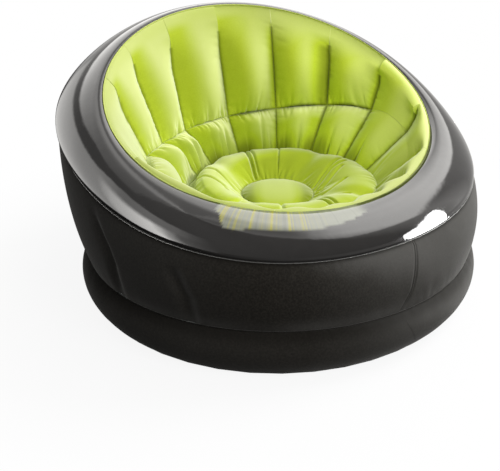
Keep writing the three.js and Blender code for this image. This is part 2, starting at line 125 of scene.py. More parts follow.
class StageSizes(bpy.types.PropertyGroup):
    """Floor, studio and camera"""
    floor_radius: length("Floor radius", 14.0, "Radius of the pale floor", high=50.0)
    lens: FloatProperty(name="Lens", description="Focal length of the camera", default=50.0, min=10.0, max=200.0,
                        unit="CAMERA")
    azimuth: turn("Azimuth", -32.4, "Bearing of the camera, from the front towards the right")
    elevation: turn("Elevation", 26.9, "Height of the camera over the horizon")
    distance: length("Distance", 2.077, "Distance from the camera to its target", high=20.0)
    key_power: FloatProperty(name="Key power", description="Power of the large soft lamp at the right",
                             default=128.0, min=0.0, unit="POWER")
    fill_power: FloatProperty(name="Fill power", description="Power of the lamp over the front",
                              default=58.0, min=0.0, unit="POWER")
    ambient: share("Ambient", 0.50, "Strength of the even light from all round", high=2.0)


class ChairSettings(bpy.types.PropertyGroup):
    """All settings of the chair"""
    bowl: PointerProperty(type=BowlSizes)
    envelope: PointerProperty(type=EnvelopeSizes)
    finishes: PointerProperty(type=Finishes)
    stage: PointerProperty(type=StageSizes)


# ---------------------------------------------------------------- rings and sections

class Ring:
    """Squared ellipse round the upright axis of the seat. rise lifts it towards the back and bow bends it."""

    def __init__(self, half_width, half_depth, centre_y, height, rise=0.0, bow=0.0, square_share=0.0):
        self.half_width, self.half_depth, self.centre_y = half_width, half_depth, centre_y
        self.height, self.rise, self.bow, self.square_share = height, rise, bow, square_share

    def at(self, bearing):
        """Distance from the axis and height at each bearing, found by halving."""
        bearing = np.asarray(bearing, float)
        low, high = bearing - 1.0, bearing + 1.0
        for _ in range(36):
            angle = (low + high) / 2
            fill = 1 - self.square_share * np.cos(4 * angle)
            x = self.half_width * fill * np.cos(angle)
            y = self.centre_y + self.half_depth * fill * np.sin(angle)
            short = x * np.sin(bearing) > y * np.cos(bearing)
            low, high = np.where(short, angle, low), np.where(short, high, angle)
        lift = np.sin(angle)
        return np.stack([np.hypot(x, y), self.height + self.rise * lift + self.bow * (lift * lift - 0.5)], -1)


OUTER = Ring(0.5602, 0.518, 0.045, 0.393, 0.139, 0.0155, 0.02)
INNER = Ring(0.461, 0.3346, 0.008, 0.487, 0.185, 0.0167)
TUFT = Ring(0.4032, 0.278, -0.014, 0.349, 0.051, -0.046)
WAIST = Ring(0.533, 0.508, -0.010, 0.1205)
FLOOR = Ring(0.525, 0.500, -0.010, 0.0)
SEAT_RADIUS, SEAT_HEIGHT = 0.255, 0.235
BUTTON_RADIUS, BUTTON_HEIGHT = 0.100, 0.223
PLAY = 0.0003
CELL_DEPTH = 0.010
SEAMS_PER_SIDE, ROWED_CELLS = 8, 4
SEAM_DRIFT = math.radians(13)
# Edges sharper than this, in degrees, are shaded as edges.
FOLD_ANGLE = 75
# Share of the way to the seat that the tuft crease hangs down at the left, and where, in degrees.
TUFT_DROP, DROP_BEARING, DROP_SPREAD = 0.17, 152, 36

# Cell seams that stand off their even places, as degrees at the rim, at the tuft crease and at the seat, and the
# share of the upper stretch at which the seam's pinch starts. Side 1 is left, and seams count from the back.
SEAM_PLACES = {
    (1, 0): (89.5, 90.0, 82.0, 0.19),
    (1, 1): (118.4, 123.5, 105.0, 0.22),
    (1, 2): (142.0, 143.5, 123.5, 0.15),
    (1, 3): (158.5, 161.0, 146.0, 0.20),
    (1, 4): (189.0, 190.0, 182.0, 0.22),
    (-1, 1): (60.5, 57.0, 56.0, 0.14),
    (-1, 2): (33.8, 30.0, 33.5, 0.20),
    (-1, 3): (10.8, 9.8, 9.5, 0.28),
    (-1, 4): (-11.0, -12.6, -12.4, 0.34),
}
# The same share for the seams at even places.
EVEN_START = 0.16


def seam_bearing(k, side):
    even = math.pi * k / SEAMS_PER_SIDE
    return BACK + side * (even + SEAM_DRIFT * math.sin(even))


def seam_line(k, side, down):
    """Bearing of a seam where down is 0 at the rim, 1 at the tuft crease and 2 at the seat, and its pinch's start."""
    if k == 0:
        side = 1
    top, tuft, foot, start = SEAM_PLACES.get((side, k), (None,) * 4)
    if top is None:
        return np.full(np.shape(down), seam_bearing(k, side)), EVEN_START
    return np.radians(np.interp(down, [0, 1, 2], [top, tuft, foot])), start


def outward(a, b):
    """Direction square to the line from a to b in an upright section, on its outer side."""
    along = b - a
    along = along / np.linalg.norm(along, axis=-1, keepdims=True)
    return np.stack([along[..., 1], -along[..., 0]], -1)


def unit(v):
    return v / np.maximum(np.linalg.norm(v, axis=-1, keepdims=True), 1e-9)


def lerp(a, b, t):
    return a + (b - a) * t


def swing(section, bearing):
    """Points of upright sections turned to their bearings."""
    return np.stack([section[..., 0] * np.cos(bearing), section[..., 0] * np.sin(bearing), section[..., 1]], -1)


def bulge_arc(a, b, rise, s):
    half = np.linalg.norm(b - a, axis=-1, keepdims=True) / 2
    radius = (half * half + rise * rise) / (2 * rise)
    angle = (2 * s - 1) * np.arcsin(half / radius)
    along = (b - a) / (2 * half)
    return (a + b) / 2 + along * radius * np.sin(angle) + outward(a, b) * (radius * np.cos(angle) - radius + rise)


def roll_arc(a, b, rise, s):
    half = np.linalg.norm(b - a, axis=-1, keepdims=True) / 2
    along = (b - a) / (2 * half)
    return (a + b) / 2 - along * half * np.cos(np.pi * s) + outward(a, b) * rise * np.sin(np.pi * s)


class Bowl:
    """Weld line of the bowl at given bearings: rim, tuft crease, seat crease, and the way out behind it."""

    def __init__(self, bearing):
        self.bearing = bearing
        self.top, self.tuft = INNER.at(bearing), TUFT.at(bearing)
        self.seat = np.broadcast_to(np.array([SEAT_RADIUS, SEAT_HEIGHT]), self.top.shape)
        dropped = TUFT_DROP * near(np.degrees(bearing) - DROP_BEARING, DROP_SPREAD)
        self.tuft = lerp(self.tuft, self.seat, dropped[..., None])
        self.upper_out, self.lower_out = -outward(self.top, self.tuft), -outward(self.tuft, self.seat)
        self.tuft_out = unit(self.upper_out + self.lower_out)
        self.upper_length = np.linalg.norm(self.tuft - self.top, axis=-1, keepdims=True)
        self.lower_length = np.linalg.norm(self.seat - self.tuft, axis=-1, keepdims=True)

    def upper(self, s):
        return lerp(self.top, self.tuft, s), unit(lerp(self.upper_out, self.tuft_out, s))

    def lower(self, s):
        down = np.array([0.0, -1.0])
        return lerp(self.tuft, self.seat, s), unit(lerp(self.tuft_out, down, s))


def smooth(x):
    x = np.clip(x, 0, 1)
    return x * x * (3 - 2 * x)


def near(d, width):
    """Bell of a distance."""
    return np.exp(-(d / width) ** 2)


def to_line(x, y, points):
    """Distance from each place to an open line of points, and the share of the way along it."""
    best, along = np.full(np.shape(x), 1e9), np.zeros(np.shape(x))
    points = np.asarray(points, float)
    count = len(points) - 1
    for i in range(count):
        (ax, ay), (bx, by) = points[i], points[i + 1]
        dx, dy = bx - ax, by - ay
        t = np.clip(((x - ax) * dx + (y - ay) * dy) / (dx * dx + dy * dy), 0, 1)
        d = np.hypot(x - ax - t * dx, y - ay - t * dy)
        along = np.where(d < best, (i + t) / count, along)
        best = np.minimum(d, best)
    return best, along


def gathers(rng, across, depth_in, width, amount, reach, spacing):
    """Gathers that run in from a crease: across is the place along the crease, depth_in the way in from it."""
    total = np.zeros(np.broadcast(across, depth_in).shape)
    count = max(2, int(round(width / spacing)))
    for i in range(count):
        place = (i + 0.5 + rng.uniform(-0.38, 0.38)) * width / count
        size = amount * rng.uniform(0.25, 1.0) ** 1.2
        run = reach * rng.uniform(0.5, 1.25)
        lean = rng.uniform(-0.25, 0.25)
        spread = spacing * rng.uniform(0.16, 0.30) * (1 + 1.6 * depth_in / run)
        total = total + size * near(across - place - lean * depth_in, spread) * np.exp(-(depth_in / run) ** 1.6)
    return total


# ---------------------------------------------------------------- meshes

def mesh_object(name, points, faces, material, attributes=None, sharp=None):
    """Object from points and arrays of faces, smooth shaded."""
    mesh = bpy.data.meshes.new(name)
    loops = np.concatenate([f.reshape(-1) for f in faces])
    sizes = np.concatenate([np.full(len(f), f.shape[1]) for f in faces])
    mesh.vertices.add(len(points))
    mesh.vertices.foreach_set("co", np.ascontiguousarray(points, np.float32).reshape(-1))
    mesh.loops.add(len(loops))
    mesh.loops.foreach_set("vertex_index", loops.astype(np.int32))
    mesh.polygons.add(len(sizes))
    mesh.polygons.foreach_set("loop_start", (np.cumsum(sizes) - sizes).astype(np.int32))
    mesh.update(calc_edges=True)
    if mesh.validate():
        raise RuntimeError(f"{name}: its mesh has faults")
    mesh.polygons.foreach_set("use_smooth", np.ones(len(sizes), bool))
    for key, values in (attributes or {}).items():
        layer = mesh.attributes.new(key, "FLOAT", "POINT")
        layer.data.foreach_set("value", np.ascontiguousarray(values, np.float32).reshape(-1))
    if sharp:
        mesh.set_sharp_from_angle(angle=math.radians(sharp))
    obj = bpy.data.objects.new(name, mesh)
    bpy.context.scene.collection.objects.link(obj)
    mesh.materials.append(material)
    return obj


def grid_faces(rows, columns, wrap=False):
    """Quads of a grid whose rows run along the first index; wrap joins the last row to the first."""
    i = np.arange(rows if wrap else rows - 1)[:, None]
    j = np.arange(columns - 1)[None, :]
    after = (i + 1) % rows
    quad = np.stack(np.broadcast_arrays(i * columns + j, after * columns + j, after * columns + j + 1,
                                        i * columns + j + 1), -1)
    return quad.reshape(-1, 4)


def end_faces(turns, size):
    """Quads that join the last column of a wrapped grid to its first."""
    i = np.arange(turns)
    after = (i + 1) % turns
    return np.stack([i * size + size - 1, after * size + size - 1, after * size, i * size], -1)


def facing(points, faces):
    """The faces, turned over where their volume says that they face inwards."""
    flat = np.concatenate([np.stack([f[:, 0], f[:, i], f[:, i + 1]], -1) for f in faces
                           for i in range(1, f.shape[1] - 1)])
    p = points - points.mean(0)
    volume = np.einsum("ij,ij->i", p[flat[:, 0]], np.cross(p[flat[:, 1]], p[flat[:, 2]])).sum()
    return faces if volume > 0 else [f[:, ::-1] for f in faces]


def padded_patch(name, front, behind, material, attributes):
    """Closed patch from a grid of front points, with a shallow back behind its border."""
    rows, columns = front.shape[:2]
    index = np.arange(rows * columns).reshape(rows, columns)
    border = np.concatenate([index[0, :-1], index[:-1, -1], index[-1, :0:-1], index[:0:-1, 0]])
    count = len(border)
    flat_front, flat_back = front.reshape(-1, 3), behind.reshape(-1, 3)
    middle = behind[rows // 2, columns // 2][None]
    points = np.concatenate([flat_front, flat_back[border], middle])
    ring = len(flat_front) + np.arange(count)
    after = np.roll(np.arange(count), -1)
    side = np.stack([border, border[after], ring[after], ring], -1)
    fan = np.stack([ring, ring[after], np.full(count, len(points) - 1)], -1)
    faces = facing(points, [grid_faces(rows, columns)[:, ::-1], side, fan])
    filled = {key: np.concatenate([v.reshape(-1), np.zeros(count + 1)]) for key, v in attributes.items()}
    return mesh_object(name, points, faces, material, filled, FOLD_ANGLE)


# ---------------------------------------------------------------- material wiring

class Wire:
    """A socket with arithmetic: each operator adds its Math node."""

    def __init__(self, tree, socket):
        self.tree, self.socket = tree, socket

    def maths(self, operation, *values):
        node = self.tree.nodes.new("ShaderNodeMath")
        node.operation = operation
        for slot, value in zip(node.inputs, values):
            if isinstance(value, Wire):
                self.tree.links.new(value.socket, slot)
            else:
                slot.default_value = value
        return Wire(self.tree, node.outputs[0])

    def __add__(self, other): return self.maths("ADD", self, other)
    def __radd__(self, other): return self.maths("ADD", other, self)
    def __sub__(self, other): return self.maths("SUBTRACT", self, other)
    def __rsub__(self, other): return self.maths("SUBTRACT", other, self)
    def __mul__(self, other): return self.maths("MULTIPLY", self, other)
    def __rmul__(self, other): return self.maths("MULTIPLY", other, self)

    def beside(self, output):
        """Another output of the same node."""
        return Wire(self.tree, self.socket.node.outputs[output])


class Finish:
    """A node material under construction."""

    def __init__(self, name, world=False):
        self.owner = bpy.data.worlds.new(name) if world else bpy.data.materials.new(name)
        self.owner.use_nodes = True
        self.tree = self.owner.node_tree
        self.tree.nodes.clear()
        self.is_world = world

    def node(self, kind, settings=None, inputs=None, output=0):
        """Any node: its settings come first, then the values or links of its sockets."""
        made = self.tree.nodes.new(kind)
        for key, value in (settings or {}).items():
            setattr(made, key, value)
        for key, value in (inputs or {}).items():
            if isinstance(value, Wire):
                self.tree.links.new(value.socket, made.inputs[key])
            else:
                made.inputs[key].default_value = value
        return Wire(self.tree, made.outputs[output])

    def place(self):
        return self.node("ShaderNodeTexCoord", output=3)

    def noise(self, size, detail=3.0, roughness=0.55, place=None, distortion=0.0):
        """Noise from 0 to 1 with clumps of the given size in metres."""
        return self.node("ShaderNodeTexNoise", inputs={
            "Vector": place or self.place(), "Scale": 1 / size, "Detail": detail, "Roughness": roughness,
            "Distortion": distortion})

    def mix(self, mask, a, b):
        """Mix of two colours."""
        return self.node("ShaderNodeMix", {"data_type": "RGBA"}, {0: mask, 6: four(a), 7: four(b)}, output=2)

    def range(self, value, low, high, to_low=0.0, to_high=1.0):
        return self.node("ShaderNodeMapRange", {"interpolation_type": "SMOOTHSTEP"},
                         {"Value": value, "From Min": low, "From Max": high, "To Min": to_low, "To Max": to_high})

    def scaled(self, tone, level):
        vector = tone[:3] if isinstance(tone, tuple) else tone
        return self.node("ShaderNodeVectorMath", {"operation": "SCALE"}, {0: vector, "Scale": level})

    def attribute(self, name):
        return self.node("ShaderNodeAttribute", {"attribute_name": name}, output=2)

    def bump(self, height, distance, strength=1.0, normal=None):
        inputs = {"Height": height, "Distance": distance, "Strength": strength}
        if normal:
            inputs["Normal"] = normal
        return self.node("ShaderNodeBump", inputs=inputs)

    def surface(self, **sockets):
        """Principled surface; names of sockets are written with underscores."""
        inputs = {key.replace("_", " "): value for key, value in sockets.items()}
        return self.close(self.node("ShaderNodeBsdfPrincipled", inputs=inputs))

    def close(self, shader):
        kind = "ShaderNodeOutputWorld" if self.is_world else "ShaderNodeOutputMaterial"
        end = self.tree.nodes.new(kind)
        self.tree.links.new(shader.socket, end.inputs["Surface"])
        return self.owner


def four(value):
    return value if isinstance(value, Wire) else (*value[:3], 1.0)


def tinted(base, gain, lift=0.0):
    return tuple(min(1.0, max(0.0, c * gain + lift)) for c in base)


def made_once(maker):
    """Keeps the material that a maker made for its name."""
    kept = {}

    def get(*key):
        if key not in kept:
            kept[key] = maker(*key)
        return kept[key]
    return get


# Direction, close to the key lamp's, from which the flock gets painted light: faces turned towards it are painted
# paler.
PAINTED_LIGHT_FROM = (0.84, 0.10, 0.53)


@made_once
def flock(slot):
    """Short flock on vinyl: clumped grain and random nap, painted light and painted shade from the nap and crease
    attributes and on faces towards the key lamp, and on the lime flock a painted sheen at grazing view.
    """
    finishes = bpy.context.scene.tub_chair.finishes
    base = tuple(getattr(finishes, slot))
    dark = slot == "black_flock"
    f = Finish(slot)
    place = f.place()
    clump = f.noise(finishes.flock_grain * (1.4 if dark else 1.0), 3.0, 0.70, place)
    nap = f.noise(0.07, 3.0, 0.5, place, 0.6)
    specks = f.noise(0.0011, 2.0, 0.6, place)
    lie = (nap - 0.5) * (2 * finishes.nap) + 0.5
    tone = f.mix(lie, tinted(base, 0.72 if dark else 0.86), tinted(base, 1.30 if dark else 1.10, 0.002))
    tone = f.mix(f.range(clump, 0.45, 0.66) * (0.30 if dark else 0.16), tone,
                 tinted(base, 2.2, 0.006) if dark else tinted(base, 1.12, 0.03))
    tone = f.mix(f.range(clump, 0.50, 0.34) * (0.40 if dark else 0.18), tone, tinted(base, 0.45 if dark else 0.75))
    # Painted light: faces turned towards the key lamp are painted paler, their edge shifted by the random nap; the nap
    # attribute adds more.
    painted_lit_side = f.node("ShaderNodeVectorMath", {"operation": "DOT_PRODUCT"},
                      {0: f.node("ShaderNodeTexCoord", output=1), 1: PAINTED_LIGHT_FROM}, output=1)
    light_edge_jitter = (nap - 0.5) * 0.25
    if dark:
        painted_light_share = f.range(painted_lit_side + light_edge_jitter * 0.5, -0.02, 0.30) * 0.30 + f.range(painted_lit_side + light_edge_jitter, 0.30, 0.95) * 0.62 \
            + f.attribute("nap") * 0.30
    else:
        stands = f.attribute("nap")
        painted_light_share = stands * (f.range(painted_lit_side + light_edge_jitter, -0.20, 0.85) * 0.62 + 0.42)
        # Painted shade: darker lime where the nap attribute is below 0.
        tone = f.mix(f.range(0 - stands, 0.0, 1.0), tone, tinted(base, 0.52))
    tone = f.mix(painted_light_share, tone, tuple(finishes.black_painted_light if dark else finishes.green_painted_light))
    drawn = f.attribute("crease")
    # Painted light where the crease attribute is below 0, and painted shade in the creases where it is above 0.
    if not dark:
        tone = f.mix(f.range(0 - drawn, 0.0, 1.0), tone, f.scaled(tone, 1.4))
    tone = f.mix(f.range(drawn, 0.0, 1.0) * (0.6 if dark else 0.62), tone,
                 tinted(base, 0.5) if dark else (base[0] * 0.36, base[1] * 0.38, base[2] * 0.30))
    height = clump * 0.6 + specks * 0.4
    inputs = {"Roughness": f.range(clump, 0.2, 0.8, 0.86, 0.98),
              "Normal": f.bump(height, 0.0007 if dark else 0.0004, 0.7), "Specular IOR Level": 0.0,
              "Sheen Weight": 0.35 if dark else 0.45, "Sheen Roughness": 0.40,
              "Sheen Tint": (0.86, 0.85, 0.82, 1) if dark else (0.97, 1.0, 0.88, 1)}
    body = f.node("ShaderNodeBsdfPrincipled", inputs={"Base Color": tone, **inputs})
    if dark:
        return f.close(body)
    # Painted sheen: a paler lime mixed in where the surface is seen at a grazing angle.
    painted_sheen_layer = f.node("ShaderNodeBsdfPrincipled", inputs={
        "Base Color": f.mix(0.25, tuple(finishes.green_painted_sheen), tone), **inputs})
    along = f.node("ShaderNodeLayerWeight", inputs={"Blend": 0.5}, output=1)
    return f.close(f.node("ShaderNodeMixShader", inputs={0: f.range(along, 0.45, 0.95) * 0.7, 1: body, 2: painted_sheen_layer}))


@made_once
def gloss_vinyl():
    """Dark glossy vinyl: soft handling marks in the gloss and a slow waviness of the sheet."""
    finishes = bpy.context.scene.tub_chair.finishes
    base = tuple(finishes.gloss_vinyl)
    f = Finish("gloss_vinyl")
    place = f.place()
    smear = f.noise(0.05, 4.0, 0.6, place, 1.0)
    dust = f.noise(0.004, 2.0, 0.5, place)
    wave = f.noise(0.16, 2.0, 0.4, place)
    ripple = f.noise(0.022, 2.0, 0.5, place)
    tone = f.mix(smear, tinted(base, 0.85), tinted(base, 1.2, 0.001))
    # Painted reflection of the lime bowl, with streaks, in a strip round the front of the rim.
    along = f.attribute("along")
    reflection_streaks = f.noise(0.018, 2.0, 0.6, f.node("ShaderNodeCombineXYZ", inputs={0: along}))
    hem = f.mix(f.range(reflection_streaks, 0.45, 0.66) * f.range(along, 0.34, 0.22),
                tuple(finishes.lime_reflection), tuple(finishes.lime_reflection_streak))
    hem = f.mix(f.range(reflection_streaks, 0.46, 0.34) * 0.35, hem, tinted(finishes.lime_reflection, 0.45))
    tone = f.mix(f.attribute("hem"), tone, hem)
    rough = f.range(smear, 0.30, 0.75, 0.035, 0.085) + f.range(dust, 0.55, 0.8, 0.0, 0.05)
    broad = f.bump(wave, 0.004, 0.35)
    return f.surface(Base_Color=tone, Roughness=rough, Normal=f.bump(ripple, 0.0003, 0.5, broad),
                     Specular_IOR_Level=0.5)


@made_once
def matt(slot, grain, roughness):
    """Moulded or rolled sheet with a fine satin grain."""
    base = tuple(getattr(bpy.context.scene.tub_chair.finishes, slot))
    f = Finish(slot)
    place = f.place()
    speck = f.noise(grain, 2.0, 0.6, place)
    blotch = f.noise(0.02, 3.0, 0.5, place)
    tone = f.mix(blotch, tinted(base, 0.8), tinted(base, 1.25, 0.002))
    return f.surface(Base_Color=tone, Roughness=f.range(blotch, 0.2, 0.8, roughness - 0.06, roughness + 0.08),
                     Normal=f.bump(speck, grain * 0.12, 0.6))


def finish_for(slot):
    if slot == "lip_vinyl":
        return matt(slot, 0.0012, 0.30)
    if slot in ("green_flock", "black_flock"):
        return flock(slot)
    if slot == "gloss_vinyl":
        return gloss_vinyl()
    grain, roughness = {"plain_vinyl": (0.0016, 0.45), "web_vinyl": (0.002, 0.42),
                        "valve_plastic": (0.0008, 0.38), "seal_rubber": (0.0006, 0.7)}[slot]
    return matt(slot, grain, roughness)


def dress(slot, *names):
    """Gives CAD nodes their finish."""
    for name in names:
        node = bpy.data.objects[name]
        if not node.material_slots:
            raise RuntimeError(f"{name} has no material slot")
        for held in node.material_slots:
            held.material = finish_for(slot)


# ---------------------------------------------------------------- pieces

def hanging_crown(s):
    fullest = 0.66
    rising = (1 - np.cos(np.pi * np.clip(s / fullest, 0, 1))) / 2
    falling = np.sqrt(np.clip(1 - ((s - fullest) / (1 - fullest)) ** 2, 0, 1))
    return np.where(s < fullest, rising ** 0.8, falling)


def even_crown(s):
    """Fuller near the rim than a hanging crown, and not drawn in at the tuft crease."""
    return 0.62 * np.sqrt(np.clip(1 - (1 - np.clip(s / 0.45, 0, 1)) ** 2, 0, 1))


def pillow(s):
    return np.sqrt(np.clip(1 - (2 * s - 1) ** 4, 0, 1))


def arch(u):
    return np.clip(1 - (2 * u - 1) ** 2, 0, 1) ** 0.95


def cosine_steps(count, ease=0.5):
    """Shares from 0 to 1, closer together at both ends."""
    even = np.linspace(0, 1, count)
    return lerp(even, (1 - np.cos(np.pi * even)) / 2, ease)


# Cells that swell otherwise: share of the usual crown, and how far the tuft crease is let out.
CELL_FORMS = {
    (1, "upper", 1): (0.95, 0.40), (1, "lower", 1): (1.0, 0.30),
    (1, "upper", 2): (0.85, 0.55), (1, "lower", 2): (1.1, 0.40),
    (1, "upper", 3): (0.70, 0.75), (1, "lower", 3): (1.3, 0.55),
    (1, "upper", 4): (0.62, 0.80), (1, "lower", 4): (1.4, 0.60),
    (-1, "upper", 4): (1.0, 1.0), (-1, "lower", 4): (0.82, 1.0),
}

# Deep tucks at the foot of the short cells: side, cell, share across it, depth, half width and reach.
FOOT_TUCKS = [
    (1, 1, 0.30, 0.022, 0.0042, 0.060), (1, 1, 0.72, 0.012, 0.0035, 0.046), (1, 1, 0.52, 0.010, 0.0030, 0.040),
    (-1, 1, 0.28, 0.020, 0.0042, 0.056), (-1, 1, 0.66, 0.022, 0.0042, 0.060), (-1, 1, 0.84, 0.012, 0.0030, 0.044),
    (1, 2, 0.12, 0.016, 0.0045, 0.052), (1, 2, 0.50, 0.022, 0.0050, 0.066), (1, 2, 0.78, 0.010, 0.0035, 0.044),
    (-1, 2, 0.62, 0.018, 0.0042, 0.056), (-1, 2, 0.25, 0.012, 0.0035, 0.048), (-1, 3, 0.50, 0.014, 0.0045, 0.056),
    (-1, 3, 0.78, 0.010, 0.0035, 0.048), (1, 3, 0.40, 0.014, 0.0045, 0.050), (-1, 4, 0.40, 0.014, 0.0045, 0.056),
]
# Painted shade of the cells away from any crease, from -1, painted light, to 1, as dark as a crease, at bearings in
# degrees.
CREASE_AT_REST = ([-90, -60, -35, -12, 5, 30, 62, 140, 158, 175, 200, 230, 270],
                  [0.3, 0.2, -0.2, -0.8, -1.0, -1.0, -0.2, -0.1, 0.25, 0.52, 0.50, 0.40, 0.2])
# How deep the painted shade on the far flank of a cell at the right is, by the cell's index from 0; 1.0 elsewhere.
FLANK_SHADE = {1: 1.5, 3: 0.5}


def cell_patch(kind, k, side, seed):
    """Front grid, back grid, and the crease and nap attributes, which carry painted shade and painted light, of one air
    cell.
    """
    sizes = bpy.context.scene.tub_chair.bowl
    rng = np.random.default_rng(seed)
    rows, columns = {"upper": (65, 69), "lower": (121, 61), "front": (69, 85)}[kind]
    u, v = cosine_steps(rows)[:, None], cosine_steps(columns)[None, :]
    u, v = np.broadcast_arrays(u, v)
    fuller, let_out = CELL_FORMS.get((side, kind, k + 1), (1.0, 0.0))
    creased = 1 - smooth((let_out - 0.8) / 0.2)
    # Share of a front cell that lies above the line of the tuft crease.
    fold = 0.62
    down = {"upper": v, "lower": 1 + v, "front": np.where(v < fold, v / fold, 1 + (v - fold) / (1 - fold))}[kind]
    near_line, near_start = seam_line(k, side, down)
    far_line, far_start = seam_line(k + 1, side, down)
    edge = side * PLAY / SEAT_RADIUS
    parted = [np.where(down < start, smooth(down / start - 0.3), 1) if kind != "lower" else np.ones_like(v)
              for start in (near_start, far_start)]
    bearing = lerp(near_line + edge * parted[0], far_line - edge * parted[1], u)
    bowl = Bowl(bearing)
    v1 = v[..., None]

    def trimmed(s, long):
        return PLAY / long + s * (1 - 2 * PLAY / long)

    def pinch(start, reach):
        return smooth((v - start) / reach) ** 0.5

    side_mix = smooth(u)
    if kind == "upper":
        place, out = bowl.upper(trimmed(v1, bowl.upper_length))
        run, crown = bowl.upper_length[..., 0], sizes.upper_crown
        swell = lerp(hanging_crown(v), even_crown(v), let_out)
        pinned = lerp(pinch(near_start - 0.06, 0.30), pinch(far_start - 0.06, 0.30), side_mix)
    elif kind == "lower":
        place, out = bowl.lower(trimmed(v1, bowl.lower_length))
        run, crown = bowl.lower_length[..., 0], sizes.lower_crown
        swell, pinned = lerp(pillow(v), pillow(0.5 + v / 2), let_out), np.ones_like(v)
    else:
        whole = bowl.upper_length + bowl.lower_length
        up_place, up_out = bowl.upper(np.clip(v1 / fold + PLAY / bowl.upper_length * (1 - v1 / fold), 0, 1))
        low_place, low_out = bowl.lower(np.clip((v1 - fold) / (1 - fold) * (1 - PLAY / bowl.lower_length), 0, 1))
        place, out = np.where(v1 < fold, up_place, low_place), np.where(v1 < fold, up_out, low_out)
        run, crown = whole[..., 0], sizes.front_crown
        swell, pinned = pillow(v), pinch(0.02, 0.3)

    width = bowl.tuft[..., 0] * np.abs(far_line - near_line)
    wide = float(width.mean())
    height = fuller * crown * swell * (1 - pinned * (1 - arch(u)))
    from_side = np.minimum(u, 1 - u) * width
    inside = smooth(from_side / 0.010)
    amount, reach = sizes.gather_depth, sizes.gather_reach
    pulled, folded = np.zeros_like(height), np.zeros_like(height)
    to_foot = (1 - v) * run
    at_foot = inside * (creased if kind == "upper" else 1)
    pulled += gathers(rng, u * width, to_foot, wide, 1.3 * amount, reach, 0.012) * at_foot
    pulled += gathers(rng, u * width, to_foot, wide, amount * 1.6, reach * 1.5, 0.045) * at_foot
    if kind == "lower":
        pulled += gathers(rng, u * width, v * run, wide, 1.2 * amount, reach * 0.8, 0.012) * inside * creased
        for word, number, across, depth, half, long in FOOT_TUCKS:
            if word == side and number == k + 1:
                spread = 0.95 * half * (1 + 0.7 * to_foot / long)
                tuck = near((u - across) * width, spread) * np.exp(-(to_foot / (1.15 * long)) ** 2)
                pulled += 1.25 * depth * tuck
                folded = np.maximum(folded, tuck)
    mean_run = float(run.mean())
    for flank in (0, 1):
        in_from_seam = (u if flank == 0 else 1 - u) * width
        pulled += 0.60 * pinned * gathers(rng, v * run, in_from_seam, mean_run, amount, 0.022, 0.011) \
            * smooth(in_from_seam / 0.004) * smooth(to_foot / 0.02)
    height = height - np.minimum(pulled, height * 0.85)
    front = swing(place - out * height[..., None], bearing)
    behind = swing(place + out * CELL_DEPTH, bearing)
    eased = 0.02 * let_out
    depth = np.minimum(np.where(pinned > 0.5, from_side, 1), to_foot + (eased if kind == "upper" else 0))
    if kind == "lower":
        depth = np.minimum(depth, v * run + eased)
    # Painted shade: darker at the seams, the tuft crease and the tucks, and by bearing round the bowl, where values
    # below 0 give painted light.
    degrees = np.degrees(bearing)
    resting = np.interp(degrees, *CREASE_AT_REST)
    crease = np.clip(lerp(resting, 1, np.clip(near(depth, 0.005) + 0.8 * folded ** 2, 0, 1)), -1, 1)
    # Painted light and shade across each cell: paler on the flank towards the key lamp, along the top and round the
    # front, darker on the far flank at the right and at the foot of the short cells.
    across = 1 - u if side > 0 else u
    begin, full = np.interp(np.cos(bearing), [-1, -0.3, 0.5, 1], [0.02, 0.20, 0.35, 0.30]), 0.40
    nap = smooth((across - begin) / full) * (0.8 if side < 0 else 1.0)
    if kind != "lower":
        nap = lerp(0.85, nap, smooth((v - 0.05) / 0.10))
    if side < 0:
        last = k == ROWED_CELLS - 1
        nap = np.maximum(nap * (0.9 if last else 1.0) + (0.15 if last else 0.0),
                         (0.45 if last else 1.1) * smooth((0.42 - v) / 0.36) * smooth(k + across))
    if kind == "front":
        nap = np.maximum(nap, 0.9 if side > 0 else 0.45)
    if side < 0:
        flank, ease = (0.62, 0.32) if k == 1 else (0.84, 0.16)
        nap = nap - FLANK_SHADE.get(k, 1.0) * smooth((across - flank) / ease) * smooth((v - 0.12) / 0.2)
    if kind == "lower":
        stands = (0.45 if k < 2 else 0.25) * creased * smooth((across - 0.2) / 0.4)
        lies = lerp(1.0, 0.1, smooth(-np.cos(bearing) * 1.4)) * smooth((v - 0.45) / 0.5)
        nap = nap + stands - lies
    return front, behind, {"crease": crease, "nap": nap}


class CHAIR_OT_bowl_cells(bpy.types.Operator):
    """Air cells of the backrest and the front, with gathers at their creases"""
    bl_idname = "tub_chair.bowl_cells"
    bl_label = "Bowl cells"

    def execute(self, context):
        seed = 100
        for word, side in (("left", 1), ("right", -1)):
            for k in range(SEAMS_PER_SIDE):
                kinds = ("upper", "lower") if k < ROWED_CELLS else ("front",)
                for kind in kinds:
                    number = k + 1 if k < ROWED_CELLS else k - ROWED_CELLS + 1
                    node = f"{kind}_cell_{word}_{number}"
                    seed += 1
                    front, behind, looks = cell_patch(kind, k, side, seed)
                    obj = padded_patch("pad_" + node, front, behind, finish_for("green_flock"), looks)
                    take(obj, "green_flock", node, fill=0.9)
        return {"FINISHED"}


def take(obj, slot, *nodes, fill=None):
    """The piece stands for its CAD nodes and moves with the chair."""
    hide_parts(*nodes)
    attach(obj, CHAIR)


def add(obj):
    """A piece of its own that moves with the chair."""
    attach(obj, CHAIR)


